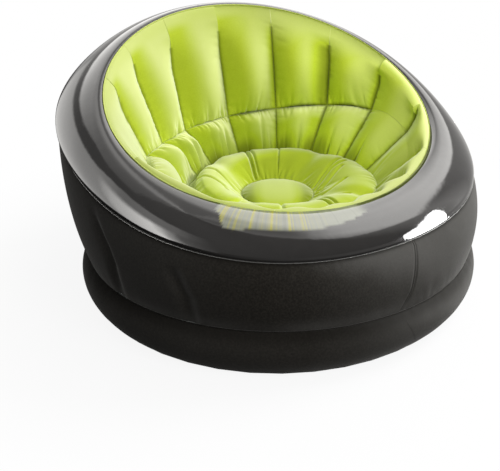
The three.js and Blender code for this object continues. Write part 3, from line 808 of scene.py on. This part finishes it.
# Folds pressed into the ring cushion, as places seen from above, with their depth and half width.
SEAT_FOLDS = [
    ([(0.044, 0.262), (0.034, 0.215), (0.005, 0.134), (-0.014, 0.068)], 0.013, 0.0050),
    ([(0.062, 0.262), (0.049, 0.212), (0.018, 0.130), (-0.004, 0.070)], 0.008, 0.0035),
    ([(0.150, 0.215), (0.136, 0.191), (0.069, 0.100), (0.038, 0.062)], 0.006, 0.0022),
    ([(0.262, 0.030), (0.230, 0.018), (0.174, -0.002), (0.112, -0.026), (0.078, -0.040)], 0.010, 0.0042),
    ([(0.236, -0.003), (0.177, -0.014), (0.120, -0.036), (0.088, -0.050)], 0.008, 0.0036),
    ([(0.203, -0.029), (0.132, -0.058), (0.078, -0.073)], 0.006, 0.0036),
    ([(0.160, -0.099), (0.102, -0.108), (0.078, -0.102)], 0.005, 0.0034),
    ([(0.105, -0.182), (0.073, -0.160), (0.056, -0.124)], 0.005, 0.0034),
    ([(0.016, -0.130), (0.011, -0.190), (0.006, -0.240)], 0.010, 0.0038),
    ([(0.034, -0.160), (0.028, -0.205), (0.022, -0.245)], 0.009, 0.0036),
    ([(-0.150, 0.185), (-0.120, 0.139), (-0.108, 0.089), (-0.092, 0.031)], 0.006, 0.0040),
    ([(-0.180, 0.140), (-0.156, 0.092), (-0.144, 0.053), (-0.150, 0.020)], 0.006, 0.0042),
    ([(-0.200, -0.090), (-0.150, -0.060), (-0.095, -0.045)], 0.006, 0.0050),
    ([(-0.120, -0.200), (-0.085, -0.140), (-0.058, -0.090)], 0.007, 0.0046),
]
# Added to a place on the ring before it is compared with the folds: in full at its outer side, not at its inner side.
SEAT_SHIFT = (0.022, -0.006)
# Painted light and shade of the ring cushion at its inner side, crest and outer side, at bearings in degrees: above 0
# paler, below 0 darker.
RING_BEARINGS = [0, 45, 90, 125, 160, 200, 250, 300, 360]
RING_INNER = [-0.1, -0.4, -0.5, 0.3, 0.5, 0.3, 0.2, -0.1, -0.1]
RING_CREST = [-0.4, -0.2, 0.9, 1.1, 0.3, 0.0, 0.2, 0.0, -0.4]
RING_OUTER = [-0.7, -0.5, 0.5, 1.0, 0.2, 0.0, 0.4, 0.0, -0.7]


class CHAIR_OT_seat(bpy.types.Operator):
    """Ring cushion with its pulled channels and the domed button"""
    bl_idname = "tub_chair.seat"
    bl_label = "Seat"

    def ring_painted_light(self, bearing, p):
        """Painted light over the left half, and painted shade down the inner side at the back and the right."""
        inner, crest, outer = (np.interp(np.degrees(bearing), RING_BEARINGS, values)
                               for values in (RING_INNER, RING_CREST, RING_OUTER))
        nap = np.where(p < 0.35, lerp(outer, crest, smooth(p / 0.35)), lerp(crest, inner, smooth((p - 0.35) / 0.3)))
        return np.concatenate([nap, nap[:, -2:]], 1)

    def execute(self, context):
        sizes = context.scene.tub_chair.bowl
        rng = np.random.default_rng(31)
        turns, rows = 560, 73
        bearing = np.linspace(0, 2 * np.pi, turns, endpoint=False)[:, None]
        p = cosine_steps(rows, 0.6)[None, :]
        bearing, p = np.broadcast_arrays(bearing, p)
        outer, inner = np.array([SEAT_RADIUS - PLAY, SEAT_HEIGHT]), np.array([BUTTON_RADIUS + PLAY, BUTTON_HEIGHT])
        spot = lerp(outer, inner, p[..., None])
        swell = np.sin(np.pi * p ** 0.66) ** lerp(0.60, 0.85, smooth(p / 0.8))
        first = seam_bearing(1, 1)
        offset = (bearing - first + np.pi / 4) % (np.pi / 2) - np.pi / 4
        from_channel = np.abs(offset) * spot[..., 0]
        rise = (sizes.seat_crown - sizes.channel_depth * near(from_channel, 0.026)) * swell
        wide_in, wide_out = 2 * np.pi * inner[0], 2 * np.pi * outer[0]
        along = bearing / (2 * np.pi)
        arc = np.linalg.norm(outer - inner) * 1.25
        pulled = gathers(rng, along * wide_in, (1 - p) * arc, wide_in, 0.0046, 0.050, 0.0105)
        pulled += gathers(rng, along * wide_in, (1 - p) * arc, wide_in, 0.0040, 0.085, 0.034)
        pulled += gathers(rng, along * wide_out, p * arc, wide_out, 0.0034, 0.026, 0.015)
        pulled += gathers(rng, along * wide_out, p * arc, wide_out, 0.0050, 0.045, 0.060)
        shift = 1 - p
        x = spot[..., 0] * np.cos(bearing) + SEAT_SHIFT[0] * shift
        y = spot[..., 0] * np.sin(bearing) + SEAT_SHIFT[1] * shift
        for line, depth, width in SEAT_FOLDS:
            d, _ = to_line(x, y, line)
            pulled += depth * near(d, width) * np.sqrt(np.clip(swell, 0, 1))
        rise = rise - np.minimum(pulled, rise * 0.85)
        overhang = 0.007 * near(p - 0.07, 0.09) * np.clip(rise / sizes.seat_crown, 0, 1)
        overhang = overhang * (1 - 2.4 * near(np.degrees(bearing) - 165, 42))
        top = np.stack([x + overhang * np.cos(bearing), y + overhang * np.sin(bearing), spot[..., 1] + rise], -1)
        under = np.stack([inner - [0, CELL_DEPTH], outer - [0, CELL_DEPTH]])[None]
        low = swing(np.broadcast_to(under, (turns, 2, 2)), bearing[:, :2])
        loops = np.concatenate([top, low], 1)
        size = rows + 2
        faces = [grid_faces(turns, size, wrap=True), end_faces(turns, size)]
        points = loops.reshape(-1, 3)
        # Painted shade: the ring cushion is darker along both its edge creases and by bearing, most round the right and
        # the front.
        painted_seat_shade = np.interp(np.degrees(bearing), [0, 90, 140, 220, 290, 360], [0.38, 0.25, 0.05, 0.10, 0.35, 0.38])
        crease = np.concatenate([np.maximum(near(np.minimum(p, 1 - p) * arc, 0.006), painted_seat_shade), np.zeros((turns, 2))], 1)
        ring = mesh_object("pad_seat_ring", points, facing(points, faces), finish_for("green_flock"),
                           {"crease": crease, "nap": self.ring_painted_light(bearing, p)}, FOLD_ANGLE)
        take(ring, "green_flock", "seat_ring", fill=0.9)

        turns, rows = 240, 40
        bearing = np.linspace(0, 2 * np.pi, turns, endpoint=False)[:, None]
        s = np.sin(np.linspace(0.012, 1, rows) * np.pi / 2)[None, :]
        bearing, s = np.broadcast_arrays(bearing, s)
        radius = s * (BUTTON_RADIUS - PLAY)
        rise = sizes.button_crown * np.sqrt(np.clip(1 - s ** 2.5, 0, 1))
        around = 2 * np.pi * BUTTON_RADIUS
        tucks = gathers(rng, bearing / (2 * np.pi) * around, (1 - s) * BUTTON_RADIUS, around, 0.0016, 0.012, 0.013)
        rise = rise - np.minimum(tucks, rise * 0.7)
        dome = swing(np.stack([radius, BUTTON_HEIGHT + rise], -1), bearing)
        foot = swing(np.stack([radius[:, -1:], np.full((turns, 1), BUTTON_HEIGHT - CELL_DEPTH)], -1), bearing[:, :1])
        loops = np.concatenate([dome, foot], 1)
        size = rows + 1
        points = np.concatenate([loops.reshape(-1, 3), [[0, 0, BUTTON_HEIGHT + sizes.button_crown],
                                                        [0, 0, BUTTON_HEIGHT - CELL_DEPTH]]])
        i = np.arange(turns)
        after = (i + 1) % turns
        top_point, low_point = np.full(turns, len(points) - 2), np.full(turns, len(points) - 1)
        faces = [grid_faces(turns, size, wrap=True), np.stack([top_point, after * size, i * size], -1),
                 np.stack([low_point, i * size + size - 1, after * size + size - 1], -1)]
        # Painted shade: darker at the button's edge crease and over all of it, most towards two opposite sides; painted
        # light in its middle, fading towards those sides and its rim.
        crease = np.concatenate([near((1 - s) * BUTTON_RADIUS, 0.005), np.zeros((turns, 1))], 1)
        ends = smooth((s * np.abs(np.cos(bearing + 0.56)) - 0.30) / 0.65)
        ends = np.concatenate([ends, ends[:, -1:]], 1)
        crease = np.maximum(crease, 0.40 + 0.35 * ends)
        crease = np.concatenate([crease.reshape(-1), [0.38, 0.38]])
        nap = 0.40 - 1.3 * ends - 0.35 * smooth((np.concatenate([s, s[:, -1:]], 1) - 0.6) / 0.4)
        nap = np.concatenate([nap.reshape(-1), [0.40, 0.0]])
        button = mesh_object("pad_seat_button", points, facing(points, faces), finish_for("green_flock"),
                             {"crease": crease, "nap": nap}, FOLD_ANGLE)
        take(button, "green_flock", "seat_button", fill=0.9)
        return {"FINISHED"}


def band_object(name, surface, material, attributes, thickness):
    """Closed band of sheet from a wrapped grid of outer points."""
    turns, rows = surface.shape[:2]
    points = surface.reshape(-1, 3)
    faces = grid_faces(turns, rows, wrap=True)
    a, b, c = points[faces[:, 0]], points[faces[:, 1]], points[faces[:, 3]]
    normal = np.cross(b - a, c - a)
    if (normal * (a * [1, 1, 0])).sum() < 0:
        faces = faces[:, ::-1]
    obj = mesh_object(name, points, [faces], material, attributes)
    wall = obj.modifiers.new("sheet", "SOLIDIFY")
    wall.thickness, wall.offset, wall.use_rim = thickness, -1, True
    return obj


# Lengths by which gathers are spaced: round the rim, across it, and round the walls.
RIM_ROUND, RIM_ACROSS, WALL_ROUND = 3.35, 0.17, 3.3
# Lower edge of a painted reflection of the lime bowl in a strip round the front of the rim: bearing in degrees, and the
# share of the rim's section from the outer weld.
FRONT_REFLECTION = [
    (217.0, 0.640), (219.0, 0.580), (220.5, 0.470), (221.5, 0.405), (224.0, 0.400), (227.0, 0.430), (241.5, 0.435),
    (246.0, 0.440), (251.0, 0.463), (256.5, 0.488), (260.5, 0.513), (265.5, 0.560), (269.5, 0.610),
]


class CHAIR_OT_rim(bpy.types.Operator):
    """Glossy rim between the outer and the inner weld, with a painted reflection of the lime bowl round the front and
    fine puckers
    """
    bl_idname = "tub_chair.rim"
    bl_label = "Rim"

    def execute(self, context):
        sizes = context.scene.tub_chair.envelope
        rng = np.random.default_rng(77)
        turns, rows = 1000, 43
        bearing = np.linspace(0, 2 * np.pi, turns, endpoint=False)[:, None]
        s = cosine_steps(rows, 0.55)[None, :]
        bearing, s = np.broadcast_arrays(bearing, s)
        low, high = OUTER.at(bearing), INNER.at(bearing)
        reach = np.pi * sizes.rim_roll
        start, stop = PLAY / reach, 1 - (sizes.sheet + 2 * PLAY) / reach
        s_line = start + s * (stop - start)
        section = roll_arc(low, high, sizes.rim_roll, s_line[..., None])
        place = bearing / (2 * np.pi) * RIM_ROUND
        depth = gathers(rng, place, s * RIM_ACROSS, RIM_ROUND, sizes.pucker_depth, 0.014, 0.011)
        depth += gathers(rng, place, (1 - s) * RIM_ACROSS, RIM_ROUND, sizes.pucker_depth, 0.010, 0.012)
        out = unit(section - (low + high) / 2)
        section = section - out * depth[..., None] * (4 * s * (1 - s) + 0.25)[..., None]
        surface = swing(section, bearing)
        degrees = np.degrees(bearing)
        # Painted reflection of the lime bowl in a strip round the front of the rim.
        first, last = FRONT_REFLECTION[0][0], FRONT_REFLECTION[-1][0]
        begins = np.interp(degrees, *np.array(FRONT_REFLECTION).T)
        hem = smooth((s_line - begins) / 0.012) * smooth((degrees - first) / 1.0) * smooth((last - degrees) / 6.0)
        along = (degrees - first) / 360 * RIM_ROUND
        obj = band_object("envelope_rim", surface, gloss_vinyl(), {"hem": hem, "along": along}, sizes.sheet)
        take(obj, "gloss_vinyl", "rim")
        return {"FINISHED"}


# Folds of the side wall: bearing in degrees and share of the height up the wall, depth and width.
WALL_FOLDS = [
    ([(184.0, 0.95), (185.5, 0.83), (188.2, 0.68), (190.6, 0.57), (192.2, 0.42), (192.4, 0.20), (192.0, 0.0)],
     0.95, 1.7),
    ([(210.0, 0.78), (211.0, 0.69), (212.5, 0.53), (214.0, 0.39), (214.5, 0.15), (214.5, 0.0)], 0.75, 1.8),
]
# Painted light on the walls at bearings in degrees: the higher the value, the paler the charcoal.
SIDE_PAINTED_LIGHT = ([0, 90, 180, 192, 206, 222, 232, 243, 255, 268, 280, 290, 305, 325, 360],
            [0.30, 0.30, 0.75, 0.65, 0.50, 0.15, 0.05, 0.10, 0.35, 0.60, 0.70, 0.45, 0.60, 1.00, 0.40])
BASE_PAINTED_LIGHT = ([0, 90, 185, 200, 215, 232, 243, 255, 270, 285, 300, 325, 360],
            [0.30, 0.15, 0.15, 0.30, 0.40, 0.28, 0.22, 0.45, 1.00, 0.85, 0.90, 1.20, 0.40])
# Closing seams of the side wall and the base wall.
WALL_SEAM = [(277.2, 0.98), (277.2, 0.90), (272.2, 0.29), (268.8, 0.03)]
BASE_SEAM = [(268.8, 1.0), (269.2, 0.84), (275.3, 0.09), (275.6, 0.0)]
# What a degree of bearing and the whole height of a wall count for beside its lines: degrees for the folds, and
# millimetres for the seams.
FOLD_SCALE, WALL_SEAM_SCALE, BASE_SEAM_SCALE = (1, 30), (9.2, 380), (9.0, 120)


def to_wall_line(degrees, s, line, scale):
    """Distance from each place on a wall to a line on it, and the share of the way along the line."""
    wide, tall = scale
    return to_line(degrees * wide, s * tall, [(b * wide, q * tall) for b, q in line])


class CHAIR_OT_walls(bpy.types.Operator):
    """Side wall and base wall, drawn in at the waist, with the folds over the inner webs"""
    bl_idname = "tub_chair.walls"
    bl_label = "Walls"

    def execute(self, context):
        sizes = context.scene.tub_chair.envelope
        rng = np.random.default_rng(55)
        rows = 45
        even = np.linspace(0, 360, 800, endpoint=False)
        fine = np.arange(266.0, 279.6, 0.125)
        bearing = np.radians(np.concatenate([even[even < 265.9], fine, even[even > 279.6]]))[:, None]
        s = cosine_steps(rows, 0.5)[None, :]
        bearing, s = np.broadcast_arrays(bearing, s)
        low = WAIST.at(bearing) + [0, sizes.sheet / 2 + PLAY]
        high = OUTER.at(bearing)
        span = np.linalg.norm(high - low, axis=-1)
        section = bulge_arc(low, high, sizes.wall_bulge, (s * (1 - PLAY / span))[..., None])
        degrees = np.degrees(bearing)
        place = bearing / (2 * np.pi) * WALL_ROUND
        pulled = gathers(rng, place, s * span, WALL_ROUND, 0.0022, 0.035, 0.030)
        pulled += gathers(rng, place, (1 - s) * span, WALL_ROUND, 0.0010, 0.020, 0.016)
        ridge_highlights = np.zeros_like(pulled)
        for line, depth, width in WALL_FOLDS:
            d, t = to_wall_line(degrees, s, line, FOLD_SCALE)
            ends = smooth(t / 0.35)
            pulled += sizes.fold_depth * depth * near(d, width) * ends
            # Painted highlight: a pale streak beside each fold.
            beside, _ = to_wall_line(degrees - 2.0, s, line, FOLD_SCALE)
            ridge_highlights += near(beside, 0.9) * ends
        closing, _ = to_wall_line(degrees, s, WALL_SEAM, WALL_SEAM_SCALE)
        pulled += 0.0016 * near(closing - 3.0, 2.2) - 0.0010 * near(closing, 1.4)
        bump_out = 4 * s * (1 - s)
        section = section - outward(low, high) * (pulled * (0.25 + 0.75 * bump_out))[..., None]
        surface = swing(section, bearing)
        # Painted shade: darker just under the rim's outer weld and in the groove beside the closing seam. Painted
        # light: a paler band along the wall's lower edge, pale streaks beside the folds and paler stretches by bearing.
        crease = np.maximum(near((1 - s) * span, 0.008), 0.7 * near(closing - 3.0, 2.2))
        nap = 0.9 * near(s * span - 0.006, 0.018) * (0.6 + 0.4 * np.sin(place * 23) * np.sin(place * 9 + 1))
        nap = nap + np.interp(degrees, *SIDE_PAINTED_LIGHT) + 0.9 * ridge_highlights
        side = band_object("envelope_side_wall", surface, finish_for("black_flock"),
                           {"crease": crease, "nap": nap}, sizes.sheet)
        take(side, "black_flock", "side_wall")

        rows = 33
        bearing = bearing[:, :1]
        s = cosine_steps(rows, 0.5)[None, :]
        bearing, s = np.broadcast_arrays(bearing, s)
        low = FLOOR.at(bearing) + [0, sizes.sheet + PLAY]
        high = WAIST.at(bearing) - [0, sizes.sheet / 2 + PLAY]
        section = bulge_arc(low, high, sizes.base_bulge, s[..., None])
        span = np.linalg.norm(high - low, axis=-1)
        place = bearing / (2 * np.pi) * WALL_ROUND
        pulled = gathers(rng, place, (1 - s) * span, WALL_ROUND, 0.0025, 0.028, 0.032)
        pulled += gathers(rng, place, s * span, WALL_ROUND, 0.0018, 0.022, 0.028)
        section = section - outward(low, high) * (pulled * (0.25 + 3 * s * (1 - s)))[..., None]
        surface = swing(section, bearing)
        closing, _ = to_wall_line(np.degrees(bearing), s, BASE_SEAM, BASE_SEAM_SCALE)
        # Painted shade: darker under the waist, along the floor and beside the closing seam; painted light by bearing.
        crease = np.maximum(near((1 - s) * span, 0.030), near(s * span, 0.012))
        crease = np.maximum(crease, 0.7 * near(closing, 2.2))
        base = band_object("envelope_base_wall", surface, finish_for("black_flock"),
                           {"crease": crease, "nap": np.interp(np.degrees(bearing), *BASE_PAINTED_LIGHT)}, sizes.sheet)
        take(base, "black_flock", "base_wall")
        return {"FINISHED"}


def inner_weld_shading(bearing, angle):
    """Painted light over the inner weld bead, and painted shade on its outer side round the front."""
    outer_side, front = smooth((np.cos(angle) - 0.1) / 0.4), smooth((-np.sin(bearing) - 0.2) / 0.4)
    return lerp(-0.2, 1.0, outer_side * front)


def tube_round(name, ring, offset, radius, material, flat, sides=8, crease=None, nap=0.0):
    """Bead of sheet along a ring, pushed out of it by offset = (distance from the axis, height)."""
    turns = 720
    bearing = np.linspace(0, 2 * np.pi, turns, endpoint=False)[:, None]
    angle = np.linspace(0, 2 * np.pi, sides, endpoint=False)[None, :]
    bearing, angle = np.broadcast_arrays(bearing, angle)
    centre = ring.at(bearing) + np.asarray(offset)
    section = centre + np.stack([radius * np.cos(angle), radius * flat * np.sin(angle)], -1)
    loops = swing(section, bearing)
    faces = [grid_faces(turns, sides, wrap=True), end_faces(turns, sides)]
    points = loops.reshape(-1, 3)
    normal = np.cross(points[faces[0][:, 1]] - points[faces[0][:, 0]], points[faces[0][:, 3]] - points[faces[0][:, 0]])
    middle = swing(centre, bearing).reshape(-1, 3)[faces[0][:, 0]]
    if (normal * (points[faces[0][:, 0]] - middle)).sum() < 0:
        faces = [f[:, ::-1] for f in faces]
    # The crease and nap attributes carry the bead's painted shade and painted light.
    drawn = np.zeros(bearing.shape) if crease is None else crease(bearing, angle)
    return mesh_object(name, points, faces, material, {"crease": drawn, "nap": np.full(bearing.shape, nap)})


class CHAIR_OT_welds(bpy.types.Operator):
    """Welded lips along both edges of the rim and at the waist"""
    bl_idname = "tub_chair.welds"
    bl_label = "Welds"

    def execute(self, context):
        width = context.scene.tub_chair.envelope.weld_width / 2
        # Painted highlight: the outer weld bead is pale grey where a line of light runs along the weld.
        add(tube_round("weld_outer", OUTER, (0.0008, 0.0), width, finish_for("lip_vinyl"), flat=0.6))
        # Painted light over the inner weld bead, with painted shade on its outer side round the front.
        add(tube_round("weld_inner", INNER, (-0.0006, 0.0010), width * 0.95, finish_for("green_flock"),
                       sides=12, flat=1.1, crease=inner_weld_shading, nap=0.6))
        # Painted shade: the waist weld bead is darkened all round.
        add(tube_round("weld_waist", WAIST, (0.0004, 0.0), width, finish_for("black_flock"), flat=0.62,
                       crease=lambda bearing, angle: np.ones(bearing.shape)))
        return {"FINISHED"}


class CHAIR_OT_webs(bpy.types.Operator):
    """Finish of the inner webs and the bottom sheet"""
    bl_idname = "tub_chair.webs"
    bl_label = "Webs"

    def execute(self, context):
        ribs = ["rib_back", "rib_front"] + [f"rib_{w}_{k}" for w in ("left", "right")
                                            for k in range(1, SEAMS_PER_SIDE)]
        dress("web_vinyl", *ribs, "waist_web", "seat_web", "button_web")
        dress("plain_vinyl", "bottom_sheet")
        return {"FINISHED"}


class CHAIR_OT_valve(bpy.types.Operator):
    """Finish of the valve's pieces"""
    bl_idname = "tub_chair.valve"
    bl_label = "Valve"

    def execute(self, context):
        dress("valve_plastic", "valve_base", "valve_plug", "valve_stopper", "stopper_strap")
        dress("seal_rubber", "valve_gasket", "check_flap")
        return {"FINISHED"}


# The studio as the gloss sees it. Bearings count from the front, -y, towards the right, +x, from 0 to 360 degrees.
# Each row of a panel: bearing, lower edge, upper edge, radiance low down and radiance high up.
BACK_RIGHT_PANEL = [
    (50, 55, 95, 2.0, 1.6), (60, 50, 95, 4.0, 1.4), (72, 42, 95, 6.0, 1.2), (85, 43, 95, 5.8, 1.0),
    (100, 40.5, 95, 5.6, 1.2), (107, 31.5, 95, 5.5, 1.8), (110, 31, 95, 5.2, 2.0), (120, 30, 95, 4.9, 1.2),
    (130, 20, 95, 3.6, 1.2), (143, 12, 95, 2.3, 1.4), (155, 18, 95, 4.2, 2.8), (165, 21, 95, 4.4, 3.2),
    (187, 25, 95, 4.2, 3.2), (204, 30, 95, 3.4, 2.6), (218, 38, 95, 2.6, 1.8), (235, 54, 95, 1.6, 1.4),
    (255, 60, 95, 1.0, 1.2), (270, 64, 95, 0.9, 1.1),
]
LEFT_PANEL = [
    (176, -12, 14, 1.0, 1.0), (190, -16, 17, 1.6, 1.6), (204, -18, 21, 2.2, 2.2), (218, -20, 26, 2.8, 3.2),
    (231, -20, 31, 3.0, 3.2), (247, -20, 40, 3.6, 3.2), (256, -20, 46, 7.0, 3.0), (266, -20, 50, 9.0, 2.2),
    (281, -16, 52, 12.6, 2.6), (289, -12, 52, 6.0, 2.4), (297, -10, 52, 1.6, 2.2), (306, -10, 50, 1.0, 1.2),
    (318, -10, 50, 0.5, 0.5),
]
STUDIO_ROOM = ([0, 45, 60, 75, 90, 120, 137, 150, 180, 200, 270, 315, 360],
               [0.40, 0.40, 1.2, 1.8, 0.8, 1.2, 1.5, 1.0, 0.6, 0.50, 0.55, 0.55, 0.40])
STUDIO_FLOOR = ([0, 60, 95, 120, 140, 152, 166, 180, 300, 360],
                [0.50, 0.9, 0.9, 1.0, 1.0, 0.40, 0.16, 0.05, 0.12, 0.50])
ROOM_RADIUS = 9.0

# The one bright card, 3 m off, which the mirror rule places for the camera: the rim's bearing in degrees, and the
# shares of its section from the outer weld between which the card shows.
HIGHLIGHT = [
    (273.2, 0.105, 0.125), (274.0, 0.090, 0.150), (275.0, 0.055, 0.163), (276.5, 0.020, 0.172), (277.5, 0.0, 0.177),
    (280.0, 0.0, 0.190), (282.0, 0.0, 0.225), (285.5, 0.0, 0.275), (289.0, 0.0, 0.288), (291.0, 0.0, 0.263),
    (292.5, 0.0, 0.213), (293.2, 0.0, 0.150), (294.5, 0.0, 0.030),
]
HIGHLIGHT_DISTANCE, HIGHLIGHT_RADIANCE = 3.0, 24.0


def toward(azimuth, elevation):
    """Direction at a bearing from the front towards the right, and a height over the horizon."""
    level = np.cos(elevation)
    return np.stack([np.sin(azimuth) * level, -np.cos(azimuth) * level, np.sin(elevation)], -1)


def panel_light(bearing, height, rows, ease, step):
    """How much of a panel covers each direction, and its radiance there."""
    place, low, high, near_floor, overhead = np.array(rows, float).T
    spread = lambda values: np.interp(bearing, place, values)
    cover = smooth((height - spread(low)) / ease + 0.5) * smooth((spread(high) - height) / ease + 0.5)
    cover = cover * smooth((bearing - place[0]) / ease) * smooth((place[-1] - bearing) / ease)
    return cover, lerp(spread(near_floor), spread(overhead), smooth((height - step) / 14))


def light_rays(f):
    """1 on the camera's rays and on those seen in gloss or through glass."""
    path = f.node("ShaderNodeLightPath")
    seen, glossy, through = (path.beside(f"Is {kind} Ray") for kind in ("Camera", "Glossy", "Transmission"))
    return seen.maths("MAXIMUM", seen.maths("MAXIMUM", seen, glossy), through)


class CHAIR_OT_stage(bpy.types.Operator):
    """Pale floor, soft studio light, what the gloss reflects, and the camera"""
    bl_idname = "tub_chair.stage"
    bl_label = "Stage"

    def execute(self, context):
        sizes = context.scene.tub_chair.stage
        scene = context.scene
        self.floor(sizes)
        self.world(scene, sizes)
        self.room()
        self.highlight()
        self.lamp("key", 84, 40, 4.2, 2.2, sizes.key_power)
        self.lamp("fill", 12, 38, 4.5, 2.5, sizes.fill_power)
        self.camera(scene, sizes)
        scene.view_settings.view_transform = "Standard"
        return {"FINISHED"}

    def floor(self, sizes):
        turns = 96
        angle = np.linspace(0, 2 * np.pi, turns, endpoint=False)
        rings = [0.7, 1.5, 4.0, sizes.floor_radius]
        points = [[0, 0, 0]] + [[r * math.cos(a), r * math.sin(a), 0] for r in rings for a in angle]
        i = np.arange(turns)
        after = (i + 1) % turns
        faces = [np.stack([np.zeros(turns, int), 1 + i, 1 + after], -1)]
        for k in range(len(rings) - 1):
            a, b = 1 + k * turns, 1 + (k + 1) * turns
            faces.append(np.stack([a + i, b + i, b + after, a + after], -1))
        f = Finish("floor_white")
        seen = light_rays(f)
        plain = f.node("ShaderNodeBsdfDiffuse", inputs={"Color": f.mix(seen, (0.12, 0.12, 0.12), (0.9, 0.9, 0.9))})
        glow = f.node("ShaderNodeEmission", inputs={"Color": (1, 1, 1, 1), "Strength": 1.0})
        away = f.node("ShaderNodeVectorMath", {"operation": "LENGTH"}, {0: f.place()}, output=1)
        mixed = f.node("ShaderNodeMixShader", inputs={0: seen * f.range(away, 0.55, 1.3, 0.90, 1.0), 1: plain, 2: glow})
        floor = mesh_object("floor", np.array(points, float), faces, f.close(mixed))
        floor.location.z = -0.0005
        floor.visible_glossy = False

    def world(self, scene, sizes):
        f = Finish("studio", world=True)
        seen = light_rays(f)
        toward = f.node("ShaderNodeTexCoord")
        sideways = f.node("ShaderNodeSeparateXYZ", inputs={0: toward})
        side_share = f.range(sideways, -0.9, 0.7, 0.26, 1.45)
        from_above = f.range(sideways.beside(2), 0.35, 0.9, 0.0, 0.22)
        level = seen + (1 - seen) * (side_share + from_above) * sizes.ambient
        scene.world = f.close(f.node("ShaderNodeBackground", inputs={
            "Color": f.scaled((1, 1, 1, 1), level), "Strength": 1.0}))

    def room(self):
        """Dome that stands for the room, seen by gloss alone."""
        across, up = 289, 145
        bearing, height = np.meshgrid(np.linspace(0, 360, across), np.linspace(-89.5, 89.5, up), indexing="ij")
        ground = np.interp(bearing, *STUDIO_FLOOR) * lerp(0.2, 1.0, smooth((height + 34) / 20))
        room = lerp(ground, np.interp(bearing, *STUDIO_ROOM), smooth(height / 6 + 0.5))
        for rows, ease, step in ((BACK_RIGHT_PANEL, 4.5, 56), (LEFT_PANEL, 4.0, 24)):
            cover, level = panel_light(bearing, height, rows, ease, step)
            room = lerp(room, level, cover)
        points = ROOM_RADIUS * toward(np.radians(bearing), np.radians(height))
        self.card("studio_room", points, room, 1.0, (1.0, 0.985, 0.96, 1.0))

    def highlight(self):
        """Bright card that the camera sees in the rim at the places of its outline."""
        sizes = bpy.context.scene.tub_chair
        degrees, low, high = np.array(HIGHLIGHT).T
        b = np.linspace(degrees[0], degrees[-1], 120)[:, None]
        t = np.linspace(0, 1, 24)[None, :]
        s = lerp(np.interp(b, degrees, low), np.interp(b, degrees, high), t)
        b, s = np.broadcast_arrays(np.radians(b), s)

        def rim(bearing, share):
            return swing(roll_arc(OUTER.at(bearing), INNER.at(bearing), sizes.envelope.rim_roll, share[..., None]),
                         bearing)

        points, small = rim(b, s), 1e-3
        normal = unit(np.cross(rim(b + small, s) - points, rim(b, s + small) - points))
        centre = swing((OUTER.at(b) + INNER.at(b)) / 2, b)
        normal = normal * np.sign(np.sum(normal * (points - centre), -1, keepdims=True))
        eye = TARGET + sizes.stage.distance * toward(sizes.stage.azimuth, sizes.stage.elevation)
        view = unit(eye - points)
        facing_eye = np.maximum(np.sum(normal * view, -1, keepdims=True), 0.02)
        mirrored = unit(2 * facing_eye * normal - view)
        self.card("card_highlight", points + HIGHLIGHT_DISTANCE * mirrored, np.ones_like(s), HIGHLIGHT_RADIANCE,
                  (1.0, 1.0, 1.0, 1.0))

    def card(self, name, points, glow, strength, tone):
        """Glowing sheet that is seen by gloss alone."""
        rows, columns = points.shape[:2]
        f = Finish(name)
        shine = f.node("ShaderNodeEmission", inputs={"Color": f.scaled(tone, f.attribute("glow")),
                                                     "Strength": strength})
        made = mesh_object(name, points.reshape(-1, 3), [grid_faces(rows, columns)], f.close(shine), {"glow": glow})
        made.visible_camera = made.visible_diffuse = made.visible_shadow = False
        made.visible_transmission = made.visible_volume_scatter = False
        made.active_material.cycles.emission_sampling = "NONE"

    def lamp(self, name, azimuth, elevation, distance, size, power):
        data = bpy.data.lights.new(name, "AREA")
        data.shape, data.size, data.energy = "DISK", size, power
        lamp = bpy.data.objects.new(name, data)
        bpy.context.scene.collection.objects.link(lamp)
        back = Vector(toward(math.radians(azimuth), math.radians(elevation)))
        lamp.location = Vector((0, 0, 0.35)) + back * distance
        lamp.rotation_euler = back.to_track_quat("Z", "Y").to_euler()
        lamp.visible_glossy = lamp.visible_camera = False

    def camera(self, scene, sizes):
        data = bpy.data.cameras.new("camera")
        data.lens, data.sensor_width = sizes.lens, 36.0
        data.clip_end = 100.0
        camera = bpy.data.objects.new("camera", data)
        scene.collection.objects.link(camera)
        back = Vector(toward(sizes.azimuth, sizes.elevation))
        camera.location = Vector(TARGET) + back * sizes.distance
        camera.rotation_mode = "QUATERNION"
        camera.rotation_quaternion = (-back).to_track_quat("-Z", "Y")
        scene.camera = camera


class CHAIR_PT_pieces(bpy.types.Panel):
    """Lists the pieces and their settings"""
    bl_idname = "CHAIR_PT_pieces"
    bl_label = "Tub Chair"
    bl_space_type = "VIEW_3D"
    bl_region_type = "UI"
    bl_category = "Tub Chair"

    def draw(self, context):
        settings = context.scene.tub_chair
        for group in (settings.bowl, settings.envelope, settings.finishes, settings.stage):
            box = self.layout.box()
            box.label(text=group.bl_rna.description or group.bl_rna.name)
            for key in group.__annotations__:
                box.prop(group, key)
        for made in OPERATORS:
            self.layout.operator(made.bl_idname)


GROUPS = (BowlSizes, EnvelopeSizes, Finishes, StageSizes, ChairSettings)
OPERATORS = (CHAIR_OT_bowl_cells, CHAIR_OT_seat, CHAIR_OT_rim, CHAIR_OT_walls, CHAIR_OT_welds, CHAIR_OT_webs,
             CHAIR_OT_valve, CHAIR_OT_stage)


def register():
    for made in (*GROUPS, *OPERATORS, CHAIR_PT_pieces):
        bpy.utils.register_class(made)
    bpy.types.Scene.tub_chair = PointerProperty(type=ChairSettings)


def unregister():
    del bpy.types.Scene.tub_chair
    for made in reversed((*GROUPS, *OPERATORS, CHAIR_PT_pieces)):
        bpy.utils.unregister_class(made)


def main():
    register()
    bpy.ops.tub_chair.bowl_cells()
    bpy.ops.tub_chair.seat()
    bpy.ops.tub_chair.rim()
    bpy.ops.tub_chair.walls()
    bpy.ops.tub_chair.welds()
    bpy.ops.tub_chair.webs()
    bpy.ops.tub_chair.valve()
    bpy.ops.tub_chair.stage()


if __name__ == "__main__":
    main()
